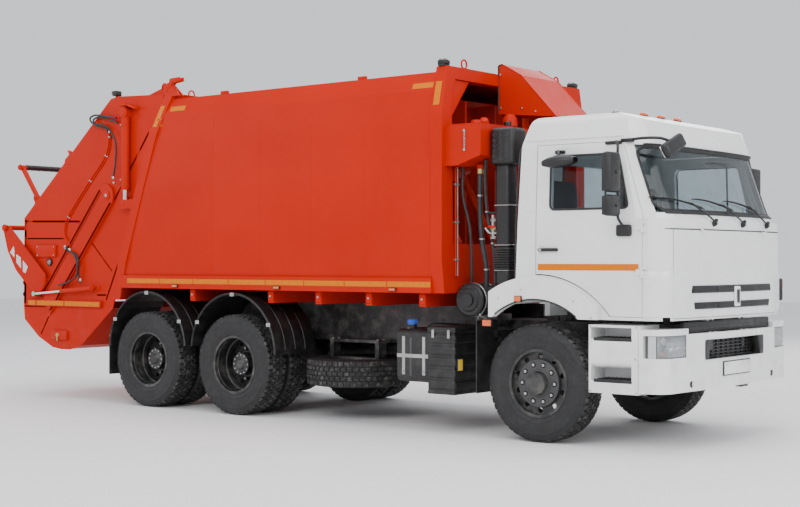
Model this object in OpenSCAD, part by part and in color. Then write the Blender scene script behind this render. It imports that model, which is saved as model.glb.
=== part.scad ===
// Rear-loading refuse truck: three-axle cab-over chassis with a compactor body.
// Millimetres. +X is forward, +Y is left, +Z is up, and the wheels stand on z = 0.
// Inside the modules x is measured from the front axle; place() moves it to the origin,
// which lies on the ground midway between the foremost and the rearmost point.

/* [Running gear] */
// Front axle to middle axle
wheelbase = 3690; // [3400:10:4600]
// Middle axle to rear axle
bogie = 1320; // [1200:10:1600]
// Outer diameter of a tyre
tyre_d = 1044; // [940:2:1080]
// Width of a tyre
tyre_w = 279; // [230:1:290]
// Diameter of the wheel's bead seat
rim_d = 579.4; // [500:0.1:600]
// Distance between the front tyres' middle planes
front_track = 2043; // [1980:1:2100]
// Distance between the middles of the twin tyres
rear_track = 1890; // [1860:1:1920]
// Distance between the middle planes of two twin tyres
twin_gap = 320; // [310:1:330]
// Radius of the wheel studs' circle
stud_circle_r = 167.5; // [140:0.5:190]
// Studs in a wheel
studs = 10; // [6:1:12]
// Distance from the vehicle's middle to a kingpin
kingpin_y = 930; // [915:1:940]

/* [Frame] */
// Width over the frame's two rails
frame_w = 864; // [760:2:900]
// Height of a rail
rail_h = 270; // [200:2:300]
// Height of the rails' underside
rail_z = 770; // [740:1:800]
// Thickness of a rail's web and flanges
rail_t = 10; // [6:1:16]
// Height of the body's subframe
subframe_h = 130; // [100:1:160]

/* [Cab] */
// Width of the cab
cab_w = 2380; // [2200:2:2440]
// Thickness of the cab's walls and doors
cab_wall = 55; // [40:1:70]
// Underside of the cab's outer skin
cab_bottom = 1100; // [1080:1:1140]
// Length of a door
door_len = 1045; // [900:1:1060]
// Thickness of the glass
glass_t = 6; // [4:0.5:10]

/* [Compactor body] */
// Width of the body over its side sheets
body_w = 2490; // [2300:2:2550]
// Thickness of the body's sheets
sheet_t = 6; // [4:1:10]
// Top of the body's roof
body_top = 3400; // [3200:5:3500]
// Lean of the body's rear frame from upright, in degrees
rear_lean = 19.8; // [15:0.1:22]

/* [Tailgate] */
// Width of the tailgate over its side plates
gate_w = 2320; // [2200:2:2340]
// Thickness of the tailgate's plates
gate_t = 10; // [6:1:16]
// Radius of a lift cylinder's barrel
lift_r = 45; // [38:1:48]
// Radius of a lift cylinder's rod
lift_rod_r = 28; // [20:1:32]
// Width of the packer carriage's guide
guide_w = 280; // [220:2:300]

/* [Hidden] */
$fn = 48;

EPS = 0.3;              // running gap between faces that slide on each other
GAP = 6;                // gap round a part that swings
BIG = 4000;             // longer than any cut needs

ORANGE = "#e2431e";
WHITE = "#e9e9e6";
BLACK = "#1c1d1f";
GREY = "#4a4d50";
STEEL = "#a9adb0";

axle_z = tyre_d / 2;
middle_x = -wheelbase;
rear_x = -wheelbase - bogie;
rim_r = rim_d / 2;
rail_top = rail_z + rail_h;
body_z = rail_top + subframe_h;
rail_y = frame_w / 2;
spindle_r = 45;

// Foremost and rearmost points of the whole vehicle; the rearmost is the bin tilter's tip
tilt_tip = [-7600, 2000];
front_end = 1345;
rear_end = tilt_tip.x - 50;

// ---------- helpers ----------

module place() translate([-(front_end + rear_end) / 2, 0, 0]) children();

module both_sides() {
    children();
    mirror([0, 1, 0]) children();
}

// A prism with its outline in x and z, from y0 to y1
module side_prism(outline, y0, y1)
    translate([0, y1, 0]) rotate([90, 0, 0]) linear_extrude(y1 - y0) polygon(outline);

// A prism with its outline in y and z, from x0 to x1
module cross_prism(outline, x0, x1)
    translate([x0, 0, 0]) rotate([90, 0, 90]) linear_extrude(x1 - x0) polygon(outline);

// A box between two corners
module block(low, high) translate(low) cube(high - low);

// A round bar along y
module bar_y(x, z, r, y0, y1)
    translate([x, y0, z]) rotate([-90, 0, 0]) cylinder(r = r, h = y1 - y0);

// A round bar along x
module bar_x(y, z, r, x0, x1)
    translate([x0, y, z]) rotate([0, 90, 0]) cylinder(r = r, h = x1 - x0);

// A round bar between two points in one plane y
module strut(a, b, y, r) {
    d = b - a;
    translate([a.x, y, a.y]) rotate([0, atan2(d.x, d.y), 0]) cylinder(r = r, h = norm(d));
}

function unit(v) = v / norm(v);

// Points of a corner rounded with radius r
function fillet(p, q, s, r, n = 6) =
    let (u = unit(p - q), v = unit(s - q), half = acos(u * v) / 2)
    let (c = q + unit(u + v) * r / sin(half), a = q + u * r / tan(half), b = q + v * r / tan(half))
    let (a0 = atan2(a.y - c.y, a.x - c.x), a1 = atan2(b.y - c.y, b.x - c.x))
    let (sweep = (a1 - a0 + 540) % 360 - 180)
    [for (i = [0:n]) c + r * [cos(a0 + sweep * i / n), sin(a0 + sweep * i / n)]];

// An outline of [x, y, radius] corners, with each radius rounded
function rounded(pts) =
    let (n = len(pts), xy = [for (p = pts) [p.x, p.y]])
    [for (i = [0:n - 1]) each pts[i][2] == 0
        ? [xy[i]] : fillet(xy[(i + n - 1) % n], xy[i], xy[(i + 1) % n], pts[i][2])];

// An outline and its mirror image across the y axis
function mirrored(half) =
    concat(half, [for (i = [len(half) - 1:-1:0]) [-half[i].x, half[i].y]]);

// ---------- wheels ----------

// Section of a tyre: radius and distance from its middle plane
function tyre_section() =
    let (w = tyre_w / 2, r = tyre_d / 2, bead = 104)
    rounded([[rim_r + EPS, -bead, 0], [rim_r + 60, -w + 12, 30], [r * 0.78, -w, 60],
        [r * 0.965, -w + 8, 20], [r, -w + 42, 25], [r, w - 42, 25], [r * 0.965, w - 8, 20],
        [r * 0.78, w, 60], [rim_r + 60, w - 12, 30], [rim_r + EPS, bead, 0]]);

module tyre_at(x, y)
    translate([x, y, axle_z]) rotate([90, 0, 0]) rotate_extrude($fn = 96) polygon(tyre_section());

// Rim barrel with a flange at each edge, from its middle plane
module rim_barrel(inner, outer) {
    rotate_extrude($fn = 96) polygon([
        [rim_r - 12, inner], [rim_r + 12, inner], [rim_r + 12, inner + 11],
        [rim_r, inner + 11], [rim_r, outer - 11], [rim_r + 12, outer - 11],
        [rim_r + 12, outer], [rim_r - 12, outer]]);
}

module stud_ring(from, to) {
    for (i = [0:studs - 1])
        rotate(i * 360 / studs) translate([stud_circle_r, 0, from]) cylinder(r = 15, h = to - from);
}

module hand_holes(count, radius, from, to) {
    for (i = [0:count - 1])
        rotate((i + 0.5) * 360 / count) translate([radius, 0, from]) cylinder(r = 24, h = to - from);
}

// The wheel's outboard direction is +Z here; the origin is on the axle in the middle plane
front_disc = 60;
module front_wheel_shape() {
    hub_in = -front_track / 2 + kingpin_y + 75;
    difference() {
        union() {
            rim_barrel(-121, 121);
            translate([0, 0, front_disc]) cylinder(r = rim_r - 11, h = 16);
            translate([0, 0, hub_in]) cylinder(r = 205, h = front_disc - hub_in + 1);
            translate([0, 0, front_disc + 15]) cylinder(r = 138, h = 23);
            translate([0, 0, front_disc + 37]) cylinder(r1 = 112, r2 = 96, h = 63);
            stud_ring(front_disc + 15, front_disc + 52);
        }
        hand_holes(studs, 240, front_disc - 1, front_disc + 17);
        translate([0, 0, hub_in - 1]) cylinder(r = spindle_r + EPS, h = 100);
    }
}

module front_wheel(side) place()
    translate([0, side * front_track / 2, axle_z]) rotate([-side * 90, 0, 0]) front_wheel_shape();

module twin_wheel_shape() {
    inner = -twin_gap / 2;
    outer = twin_gap / 2;
    difference() {
        union() {
            rim_barrel(inner - 121, inner + 121);
            rim_barrel(outer - 121, outer + 121);
            rotate_extrude($fn = 96) polygon([[rim_r - 12, inner + 100], [rim_r - 1, inner + 100],
                [rim_r - 1, outer - 100], [rim_r - 12, outer - 100]]);
            translate([0, 0, -20]) cylinder(r = rim_r - 11, h = 40);
            translate([0, 0, -245]) cylinder(r = 205, h = 226);
            translate([0, 0, 19]) cylinder(r = 136, h = 66);
            translate([0, 0, 84]) cylinder(r1 = 122, r2 = 112, h = 90);
            stud_ring(19, 58);
        }
        hand_holes(studs, 240, -21, 21);
        translate([0, 0, -246]) cylinder(r = spindle_r + EPS, h = 260);
    }
}

module twin_wheel(x, side) place()
    translate([x, side * rear_track / 2, axle_z]) rotate([-side * 90, 0, 0]) twin_wheel_shape();

module twin_tyres(x, side) color(BLACK) place()
    for (offset = [-twin_gap / 2, twin_gap / 2])
        tyre_at(x, side * (rear_track / 2 + offset));

// ---------- steering ----------

eye_half = 54;
module knuckle(side) color(GREY) place() translate([0, side * kingpin_y, axle_z]) {
    translate([0, 0, -eye_half - 50]) cylinder(r = 22, h = 2 * eye_half + 100);
    for (z = [eye_half + EPS, -eye_half - EPS - 36]) {
        translate([0, 0, z]) cylinder(r = 46, h = 36);
        translate([-40, side > 0 ? 0 : -70, z]) cube([80, 70, 36]);
    }
    translate([-60, side > 0 ? 56 : -70, -90]) cube([120, 14, 180]);
    rotate([-side * 90, 0, 0]) translate([0, 0, 60]) cylinder(r = spindle_r, h = 105);
    // Steering arm
    translate([-200, side > 0 ? -70 : 0, -eye_half - EPS - 36]) cube([190, 70, 36]);
}

arm_x = -180;
tie_inset = 50;
arm_bottom = axle_z - eye_half - EPS - 36;
module tie_rod() color(GREY) place() {
    bar_y(arm_x, arm_bottom - EPS - 22, 18, -kingpin_y + tie_inset, kingpin_y - tie_inset);
    for (side = [-1, 1])
        translate([arm_x, side * (kingpin_y - tie_inset), arm_bottom - EPS - 40]) cylinder(r = 22, h = 40);
}

// ---------- frame and running gear ----------

module rail(x0, x1) {
    difference() {
        block([x0, -rail_y, rail_z], [x1, -rail_y + 80, rail_top]);
        block([x0 - 1, -rail_y + rail_t, rail_z + rail_t], [x1 + 1, -rail_y + 81, rail_top - rail_t]);
    }
}

frame_front = 1180;
frame_rear = -5480;
trunnion_z = axle_z + 20;
module chassis_frame() color(BLACK) place() {
    both_sides() {
        rail(frame_rear, frame_front);
        // Bumper bracket
        block([frame_front - 40, -rail_y, 935], [front_end - 54, -rail_y + 36, 975]);
        // Subframe rail of the body
        block([frame_rear, -rail_y, rail_top], [-900, -rail_y + 80, body_z]);
        // Stand and pin of the cab's hinge
        block([frame_front - 130, -rail_y + 90, rail_z + 60], [cab_hinge.x + 20, -rail_y + 140, cab_hinge.y]);
        bar_y(cab_hinge.x, cab_hinge.y, 38, -rail_y + 90, -rail_y + 140);
        bar_y(cab_hinge.x, cab_hinge.y, 24, -rail_y + 42, -rail_y + 188);
        // Trunnion of the bogie spring
        bar_y(middle_x - bogie / 2, trunnion_z, 55, -590, -rail_y + 80);
        block([middle_x - bogie / 2 - 90, -rail_y, trunnion_z - 20], [middle_x - bogie / 2 + 90, -rail_y + 80, rail_z + 1]);
    }
    block([frame_front - 130, -rail_y + rail_t - 1, rail_z + 60], [frame_front - 50, rail_y - rail_t + 1, rail_z + 190]);
    for (x = [-1400, -2200, -3000, middle_x - bogie / 2, frame_rear + 60])
        block([x - 40, -rail_y + rail_t - 1, rail_z + 165], [x + 40, rail_y - rail_t + 1, rail_top - 9]);
    // Carrier of the spare wheel
    for (x = [spare_x - 300, spare_x + 300])
        block([x - 25, spare_y - 60, spare_top + EPS], [x + 25, spare_y + 60, rail_z + 1]);
    block([spare_x - 325, spare_y - 60, rail_z], [spare_x + 325, -rail_y + 80, rail_z + 30]);
}

module engine_block() color(GREY) place() {
    block([-420, -330, 720], [880, 330, 1420]);
    both_sides() block([100, -rail_y + rail_t + EPS, 850], [240, -329, 950]);
}

module driveline() color(GREY) place() {
    block([-1250, -230, 700], [-420 - EPS, 230, 1030]);
    strut([-1250, 860], [middle_x + 215, axle_z + 30], 0, 55);
    strut([middle_x - 215, axle_z + 30], [rear_x + 215, axle_z + 30], 0, 50);
    // Crossmember that carries the gearbox
    block([-860, -rail_y + rail_t + 70, 740], [-800, rail_y - rail_t - 70, 800]);
}

module axles() color(GREY) place() {
    // Front beam with its kingpin eyes
    difference() {
        union() {
            block([-50, -740, axle_z - 60], [50, 740, axle_z + 60]);
            both_sides() {
                block([-40, -kingpin_y, axle_z - 50], [40, -730, axle_z + 50]);
                translate([0, -kingpin_y, axle_z - eye_half]) cylinder(r = 50, h = 2 * eye_half);
            }
        }
        both_sides() translate([0, -kingpin_y, axle_z - BIG / 2]) cylinder(r = 22 + EPS, h = BIG);
    }
    // Driven axles: tube, differential bowl and spindles
    for (x = [middle_x, rear_x]) {
        bar_y(x, axle_z, 75, -690, 690);
        bar_y(x, axle_z, spindle_r, -rear_track / 2, rear_track / 2);
        translate([x, 0, axle_z]) sphere(r = 215);
    }
}

// Leaf spring that bows by the given sag, from its underside
function leaf_pack(half, t, sag, end_t) =
    concat([for (i = [-8:8]) [half * i / 8, sag * pow(i / 8, 2)]],
        [for (i = [8:-1:-8]) [half * i / 8, sag * pow(i / 8, 2) + t - (t - end_t) * abs(i) / 8]]);

module springs() color(GREY) place() both_sides() {
    translate([0, 0, axle_z + 60 + EPS]) side_prism(leaf_pack(700, 70, 130, 22), -rail_y + 2, -rail_y + 82);
    for (x = [-700, 700])
        block([x - 25, -rail_y + 2, axle_z + 60 + 140], [x + 25, -rail_y + 78, rail_z - EPS]);
    // Bogie spring, its ends resting on the axle tubes
    translate([middle_x - bogie / 2, 0, axle_z + 75 + EPS])
        side_prism([for (p = leaf_pack(bogie / 2 + 60, 120, 0, 40)) [p.x, p.y]], -570, -480);
}

// ---------- things hung on the frame ----------

module rounded_box(low, high, r) {
    x0 = low.x;
    x1 = high.x;
    side = rounded([[low.y, low.z, r], [high.y, low.z, r], [high.y, high.z, r], [low.y, high.z, r]]);
    cross_prism(side, x0, x1);
}

tank_x = [-2980, -1620];
module fuel_tank() color(STEEL) place() {
    rounded_box([tank_x[0], 560, 400], [tank_x[1], 1190, 1010], 90);
    for (x = [tank_x[0] + 250, tank_x[1] - 250])
        block([x - 40, rail_y, 700], [x + 40, 561, 980]);
    translate([tank_x[1] - 180, 1000, 1005]) cylinder(r = 55, h = 50);
}

module silencer() color(GREY) place() {
    rounded_box([-1540, 520, 430], [-700, 1160, 1000], 120);
    block([-1200, rail_y, 760], [-1100, 521, 860]);
    bar_y(-900, rail_z - 70, 50, 240, 530);
}

battery_x = [-1182, -880];
module battery_box() color(BLACK) place() {
    block([battery_x[0], -1180, 372], [battery_x[1], -640, 978]);
    block([battery_x[0] + 60, -641, 780], [battery_x[1] - 60, -rail_y, 940]);
}

module urea_tank() color(BLACK) place() {
    rounded_box([-1560, -1170, 460], [battery_x[0] - GAP, -680, 960], 70);
    block([-1450, -681, 780], [-1300, -rail_y, 940]);
    translate([-1470, -1050, 955]) cylinder(r = 42, h = 45);
    // Steel band
    block([-1562, -1174, 690], [-1540, -676, 730]);
}

intake_x = -455;
filter_x = -805;
module air_intake() color(BLACK) place() {
    // Filter can
    bar_y(filter_x, 1240, 155, -1060, -720);
    bar_y(filter_x, 1240, 60, -1090, -1059);
    block([filter_x - 60, -800, rail_top - 60], [filter_x + 60, -rail_y, rail_top + 60]);
    // Standing duct and its head
    block([intake_x - 80, -1030, 1380], [intake_x + 70, -880, 2480]);
    block([intake_x - 110, -1080, 2470], [intake_x + 160, -850, 2810]);
    block([filter_x + 60, -980, 1200], [intake_x + 70, -880, 1380]);
}

spare_x = -2530;
spare_y = -600;
spare_top = 620;
module spare_wheel() color(BLACK) place() translate([spare_x, spare_y, spare_top - tyre_w / 2]) {
    rotate_extrude($fn = 96) polygon(tyre_section());
    rim_barrel(-121, 121);
    difference() {
        translate([0, 0, 60]) cylinder(r = rim_r - 11, h = 16);
        translate([0, 0, 59]) cylinder(r = 140, h = 18);
    }
    // Cradle bar that hangs the wheel from its carrier
    translate([-325, -50, 75]) cube([650, 100, tyre_w / 2 - 75]);
}

guard_r = 615;
guard_lift = 128;
guard_y = [640, 1250];
guard_top = axle_z + guard_lift + guard_r;
// Curved guard over one axle
module guard_arc(x, a0, a1) {
    translate([x, 0, axle_z + guard_lift]) side_prism(
        concat([for (i = [0:16]) guard_r * [cos(a0 + (a1 - a0) * i / 16), sin(a0 + (a1 - a0) * i / 16)]],
            [for (i = [16:-1:0]) (guard_r - 12) * [cos(a0 + (a1 - a0) * i / 16), sin(a0 + (a1 - a0) * i / 16)]]),
        -guard_y[1], -guard_y[0]);
}

module mudguards() color(BLACK) place() both_sides() {
    guard_arc(middle_x, 0, 176);
    guard_arc(rear_x, 4, 180);
    // Brackets from the frame
    for (x = [middle_x - 40, rear_x - 40])
        block([x, -guard_y[1] + 40, guard_top - 30], [x + 80, -rail_y, guard_top - 1]);
    // Rear flap
    block([rear_x - guard_r - 12, -guard_y[1], 330], [rear_x - guard_r + 3, -guard_y[0], axle_z + guard_lift + 20]);
    // Flap and stay behind the front wheel
    block([-640, -1180, 400], [-628, -850, 1110]);
    block([-640, -900, 900], [-600, -rail_y, 960]);
}

// ---------- bumper and steps ----------

bumper_z = [500, 1030];
bumper_drop = 985;
lamp_y = [884, 1232];
lamp_z = [792, 980];

// Plan of the bumper, moved inwards by the inset
function bumper_plan(inset) =
    let (f = front_end - inset, s = 1250 - inset)
    rounded(mirrored_x(concat([[1060, -s, 0], [f - 55, -s, 150 - inset * 0.5]],
        [for (y = [-900, -600, -200]) [f - (y * y - 40000) / 21400, y, 0]])));
function mirrored_x(half) =
    concat(half, [for (i = [len(half) - 1:-1:0]) [half[i].x, -half[i].y, half[i][2]]]);

module bumper_solid(inset, z0, z1)
    translate([0, 0, z0]) linear_extrude(z1 - z0) polygon(bumper_plan(inset));

module bumper() color(WHITE) place() difference() {
    bumper_solid(0, bumper_z[0], bumper_z[1]);
    bumper_solid(45, bumper_z[0] - 1, bumper_z[1] - 20);
    // Lower middle part under the cab's front edge
    block([1000, -850, bumper_drop], [BIG, 850, bumper_z[1] + 1]);
    block([1000, -850, bumper_z[1] - 60], [front_end - 60, 850, bumper_z[1] + 1]);
    // Air opening
    block([1000, -594, 752], [BIG, 594, 930]);
    both_sides() block([1100, -lamp_y[1] - 40, lamp_z[0]], [BIG, -lamp_y[0], lamp_z[1]]);
}

module headlights() color("#d8dde0") place() both_sides() difference() {
    intersection() {
        bumper_solid(4, lamp_z[0] + EPS, lamp_z[1] - EPS);
        block([1100 + EPS, -1300, 0], [BIG, -lamp_y[0] - EPS, BIG]);
    }
    bumper_solid(110, 0, BIG);
}

step_x = [585, 1055];
step_z = [485, 1060];
module entry_steps() color(WHITE) place() both_sides() {
    difference() {
        block([step_x[0], -1250, step_z[0]], [step_x[1], -880, step_z[1]]);
        block([step_x[0] + 20, -1251, 590], [step_x[1] - 60, -1010, 870]);
        block([step_x[0] + 20, -1251, 940], [step_x[1] - 60, -1010, 1040]);
    }
    // Bracket from the frame
    block([760, -881, 820], [840, -rail_y, 900]);
}

// ---------- cab ----------

cab_hinge = [1240, 965];
cab_half = cab_w / 2;
cab_rear = -210;
belt_z = 1955;
cab_front = front_end - 14;
screen_lean = 19.5;
floor_z = 1340;

// Side outline of the cab
function cab_side(i, bottom) = rounded([
    [cab_rear + i, bottom, 0], [cab_front + 40 - i, bottom, 0], [cab_front + 40 - i, belt_z, 0],
    [1150 - i, 2560, 60], [1075 - i, 2770 - i * 0.7, 120], [700, 2885 - i, 500],
    [300, 2930 - i, 300], [-90, 2905 - i, 150], [-150 + i, 2640, 60]]);

// Cross outline of the cab
function cab_cross(i, bottom) = mirrored(rounded([
    [0, bottom, 0], [cab_half - i, bottom, 0], [cab_half + 4 - i, 1500, 0], [cab_half - i, belt_z, 0],
    [cab_half - 30 - i, 2600, 200], [cab_half - 130 - i, 2870 - i, 120], [0, 2932 - i, 0]]));

// Plan of the cab's front with the given corner radius; x runs from the front
function cab_plan(front, half, corner, squash = 1) = [for (p = rounded(mirrored_x(concat(
    [[-BIG, -half, 0], [front - half * half / 20000, -half, corner]],
    [for (y = [-700, -350]) [front - y * y / 20000, y, 0]])))) [p.x * squash, p.y]];

module cab_volume(i, bottom) intersection() {
    side_prism(cab_side(i, bottom), -BIG, BIG);
    cross_prism(cab_cross(i, bottom), -BIG, BIG);
    union() {
        translate([0, 0, bottom]) linear_extrude(belt_z - bottom) polygon(cab_plan(cab_front - i, cab_half + 6 - i, 200));
        intersection() {
            block([-BIG, -BIG, belt_z - 0.5], [BIG, BIG, BIG]);
            translate([1310 - i, 0, belt_z]) rotate([0, -screen_lean, 0]) translate([0, 0, -1000])
                linear_extrude(3000) polygon(cab_plan(0, cab_half + 6 - i, 330, cos(screen_lean)));
        }
    }
}

module cab_walls() difference() {
    cab_volume(0, cab_bottom);
    cab_volume(cab_wall, floor_z);
    // Open space under the floor
    block([cab_rear + cab_wall, -cab_half + cab_wall + 2, cab_bottom - 1], [cab_front - 70, cab_half - cab_wall - 2, floor_z - 50]);
}

door_x = [1063 - door_len, 1063];
door_pin = [door_x[1] + 2, -cab_half - 17];
door_hinge_z = [1480, 1860];
arch_r = 925;
arch = [30, 560];

// Outline of a door, grown by the gap
function door_outline(g) = [
    [door_x[0] - 2 * g, cab_bottom + 30 - g], [door_x[1] + g, cab_bottom + 30 - g],
    [door_x[1] + g, 1960], [860 + g, 2610 + g], [door_x[0] - 2 * g, 2610 + g]];

function window_outline() = rounded([
    [156, 2045, 30], [932, 2045, 30], [827, 2510, 40], [156, 2510, 60]]);

door_depth = 32;
module door_zone(g, y0, y1) difference() {
    side_prism(door_outline(g), y0, y1);
    bar_y(arch.x, arch.y, arch_r - 2.5 * g, y0 - 1, y1 + 1);
}

module screen_zone(g) side_prism([[700, 2005 - g], [BIG, 2005 - g], [BIG, 2582 + g], [700, 2582 + g]], -1108 - g, 1108 + g);

panel_z = [cab_bottom + 20, 1862];
panel_y = 1040;
panel_pin = [cab_front + 2, panel_z[1] + 3];
panel_hinge_y = [-600, 600];
module panel_zone(g) block([1215 - g, -panel_y - g, panel_z[0] - g], [BIG, panel_y + g, panel_z[1] + g]);

rear_window_z = [2080, 2480];
tunnel_y = 400;
module cab_shell() color(WHITE) place() {
    difference() {
        cab_walls();
        both_sides() door_zone(4, -BIG, -cab_half + cab_wall + 60);
        screen_zone(0);
        panel_zone(4);
        // Rear window
        block([-BIG, -560, rear_window_z[0]], [0, 560, rear_window_z[1]]);
        // Wheel arches
        both_sides() bar_y(arch.x, arch.y, 700, -BIG, -700);
        // Engine tunnel
        block([cab_rear - 1, -tunnel_y, cab_bottom - 1], [950, tunnel_y, 1500]);
    }
    // Walls of the engine tunnel
    difference() {
        block([cab_rear + cab_wall - 1, -tunnel_y - 25, floor_z - 50], [975, tunnel_y + 25, 1525]);
        block([cab_rear, -tunnel_y, cab_bottom], [950, tunnel_y, 1500]);
    }
    // Bulkhead behind the front panel
    block([1080, -1060, floor_z - 51], [1110, 1060, belt_z - 60]);
    // Arch mouldings
    both_sides() intersection() {
        difference() {
            bar_y(arch.x, arch.y, arch_r - 20, -1250, -cab_half + 10);
            bar_y(arch.x, arch.y, 700, -BIG, BIG);
        }
        block([-455, -BIG, cab_bottom], [668, 0, BIG]);
    }
    // Pins and leaves of the door hinges
    both_sides() for (z = door_hinge_z) {
        translate([door_pin.x, door_pin.y, z - 20]) cylinder(r = 5, h = 90);
        for (dz = [-20 - EPS, 50 + EPS]) {
            translate([door_pin.x, door_pin.y, z + dz]) cylinder(r = 11, h = 20);
            block([door_pin.x, door_pin.y - 5, z + dz], [door_pin.x + 45, -cab_half + 1, z + dz + 20]);
        }
    }
    // Pins and leaves of the front panel's hinges
    for (y = panel_hinge_y) {
        bar_y(panel_pin.x, panel_pin.y, 4, y - 50, y + 50);
        for (dy = [-50, 30 + EPS]) {
            bar_y(panel_pin.x, panel_pin.y, 8, y + dy, y + dy + 20 - EPS);
            block([panel_pin.x - 40, y + dy, panel_pin.y + 1], [panel_pin.x, y + dy + 20 - EPS, panel_pin.y + 8]);
        }
    }
    // Hinge knuckles of the tilting cab
    both_sides() difference() {
        union() {
            for (y = [-rail_y + 144, -rail_y + 46]) {
                bar_y(cab_hinge.x, cab_hinge.y, 38, y, y + 40);
                block([cab_hinge.x - 38, y, cab_hinge.y], [cab_hinge.x + 10, y + 40, floor_z - 55]);
                block([1100, y, floor_z - 95], [cab_hinge.x + 10, y + 40, floor_z - 55]);
                block([1100, y, floor_z - 56], [1205, y + 40, floor_z - 45]);
            }
        }
        bar_y(cab_hinge.x, cab_hinge.y, 24 + EPS, -BIG, BIG);
    }
}

module glass_skin() difference() {
    cab_volume(22, floor_z);
    cab_volume(22 + glass_t, floor_z);
}

module cab_glass() color("#8fa3ab", 0.5) place() {
    intersection() {
        glass_skin();
        screen_zone(-EPS);
    }
    side_prism([for (p = [[0, rear_window_z[0] + EPS], [glass_t, rear_window_z[0] + EPS],
        [glass_t, rear_window_z[1] - EPS], [0, rear_window_z[1] - EPS]])
        [cab_rear + 24 + p.x + (p.y - cab_bottom) * 60 / (2640 - cab_bottom), p.y]], -560 + EPS, 560 - EPS);
}

module front_panel() color(WHITE) place() {
    difference() {
        intersection() {
            cab_walls();
            panel_zone(0);
        }
        // Grille slots
        for (z = [1262, 1338, 1400])
            block([1000, -560, z], [BIG, 560, z + 42]);
        // Room for the fixed leaves
        for (y = panel_hinge_y)
            block([panel_pin.x - 60, y - 60, panel_z[1] - 8], [BIG, y + 60, BIG]);
    }
    for (y = panel_hinge_y)
        difference() {
            union() {
                bar_y(panel_pin.x, panel_pin.y, 8, y - 30, y + 30);
                block([panel_pin.x - 34, y - 30, panel_pin.y - 30], [panel_pin.x + 4, y + 30, panel_pin.y - 4]);
            }
            bar_y(panel_pin.x, panel_pin.y, 4 + EPS, y - 31, y + 31);
        }
}

module door(side) color(WHITE) place() {
    difference() {
        intersection() {
            cab_walls();
            door_zone(0, side > 0 ? cab_half - cab_wall - door_depth : -BIG,
                side > 0 ? BIG : -cab_half + cab_wall + door_depth);
        }
        side_prism(window_outline(), -BIG, BIG);
    }
    // Hinge leaves with their knuckles
    mirror([0, side > 0 ? 1 : 0, 0]) for (z = door_hinge_z) difference() {
        union() {
            translate([door_pin.x, door_pin.y, z]) cylinder(r = 11, h = 50);
            block([door_pin.x - 50, door_pin.y - 5, z], [door_pin.x, -cab_half + 1, z + 50]);
        }
        translate([door_pin.x, door_pin.y, z - 1]) cylinder(r = 5 + EPS, h = 52);
    }
}

// Mirror group of one side, carried by that side's door
mirror_stay = [880, -1275];
module mirror_arm(side) color(BLACK) place() mirror([0, side > 0 ? 1 : 0, 0]) {
    block([842, -1480, 2170], [898, -1280, 2500]);
    block([842, -1480, 1975], [898, -1280, 2150]);
    translate([mirror_stay.x, mirror_stay.y, 1960]) cylinder(r = 11, h = 580);
    // Stays that run to the door's frame
    block([870, mirror_stay.y - 5, 2528], [890, -cab_half + 22, 2540]);
    block([870, mirror_stay.y - 5, 1955], [890, -cab_half - EPS, 1967]);
}

module seats() color("#3a3d42") place() both_sides() {
    block([60, -1000, 1560], [560, -520, 1690]);
    block([-60, -1000, 1600], [60, -520, 2330]);
    block([120, -920, floor_z], [480, -600, 1561]);
}

module dashboard() color("#2a2c30") place() {
    block([880, -1080, 1560], [1080, 1080, 1830]);
    // Steering column
    translate(steering_centre) rotate([0, steering_tilt, 0]) translate([0, 0, -12 - EPS - 300]) cylinder(r = 28, h = 300);
}

steering_centre = [740, 700, 1850];
steering_tilt = -30;
module steering_wheel() color(BLACK) place() translate(steering_centre) rotate([0, steering_tilt, 0]) {
    rotate_extrude($fn = 64) translate([215, 0]) circle(r = 14, $fn = 20);
    for (a = [90, 210, 330]) rotate([0, 90, a]) translate([0, 0, 30]) cylinder(r = 9, h = 176);
    translate([0, 0, -12]) cylinder(r = 45, h = 24);
}

// ---------- compactor body ----------

side_half = body_w / 2;
body_front = -1100;
ring_top = -4700;
slope = tan(rear_lean);

// X of the rear frame's front face at height z
function ring_x(z) = ring_top - slope * (3400 - z);
ring_depth = 130;

// Outline of the body in y and z, moved inwards by the inset
function body_outline(i, bottom) = mirrored([
    [0, bottom + i], [side_half - 60 - i, bottom + i], [side_half - 20 - i, 1460], [side_half - 2 - i, 1900],
    [side_half - i, 2400], [side_half - 10 - i, 2900], [side_half - 40 - i, 3190],
    [side_half - 110 - i, body_top - 40 - i], [0, body_top - i]]);

// Space in front of the slanted plane that lies back from the frame's front face
module ahead_of(back) side_prism([
    [ring_x(500) - back, 500], [ring_x(4000) - back, 4000], [BIG, 4000], [BIG, 500]], -BIG, BIG);

module body_shell() color(ORANGE) place() intersection() {
    difference() {
        cross_prism(body_outline(0, 1300), -BIG * 2, body_front);
        cross_prism(body_outline(sheet_t, 1300), -BIG * 2 - 1, body_front + 1);
    }
    ahead_of(-0.5);
}

gate_hinge = [-4800, 3470];
lift_top = [-5405, 3250];
lift_foot = [-5405, 2240];
lift_y = 1212;

module ring_slab() intersection() {
    ahead_of(ring_depth);
    difference() {
        block([-BIG * 2, -BIG, 0], [BIG, BIG, BIG]);
        ahead_of(0);
    }
}

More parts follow.
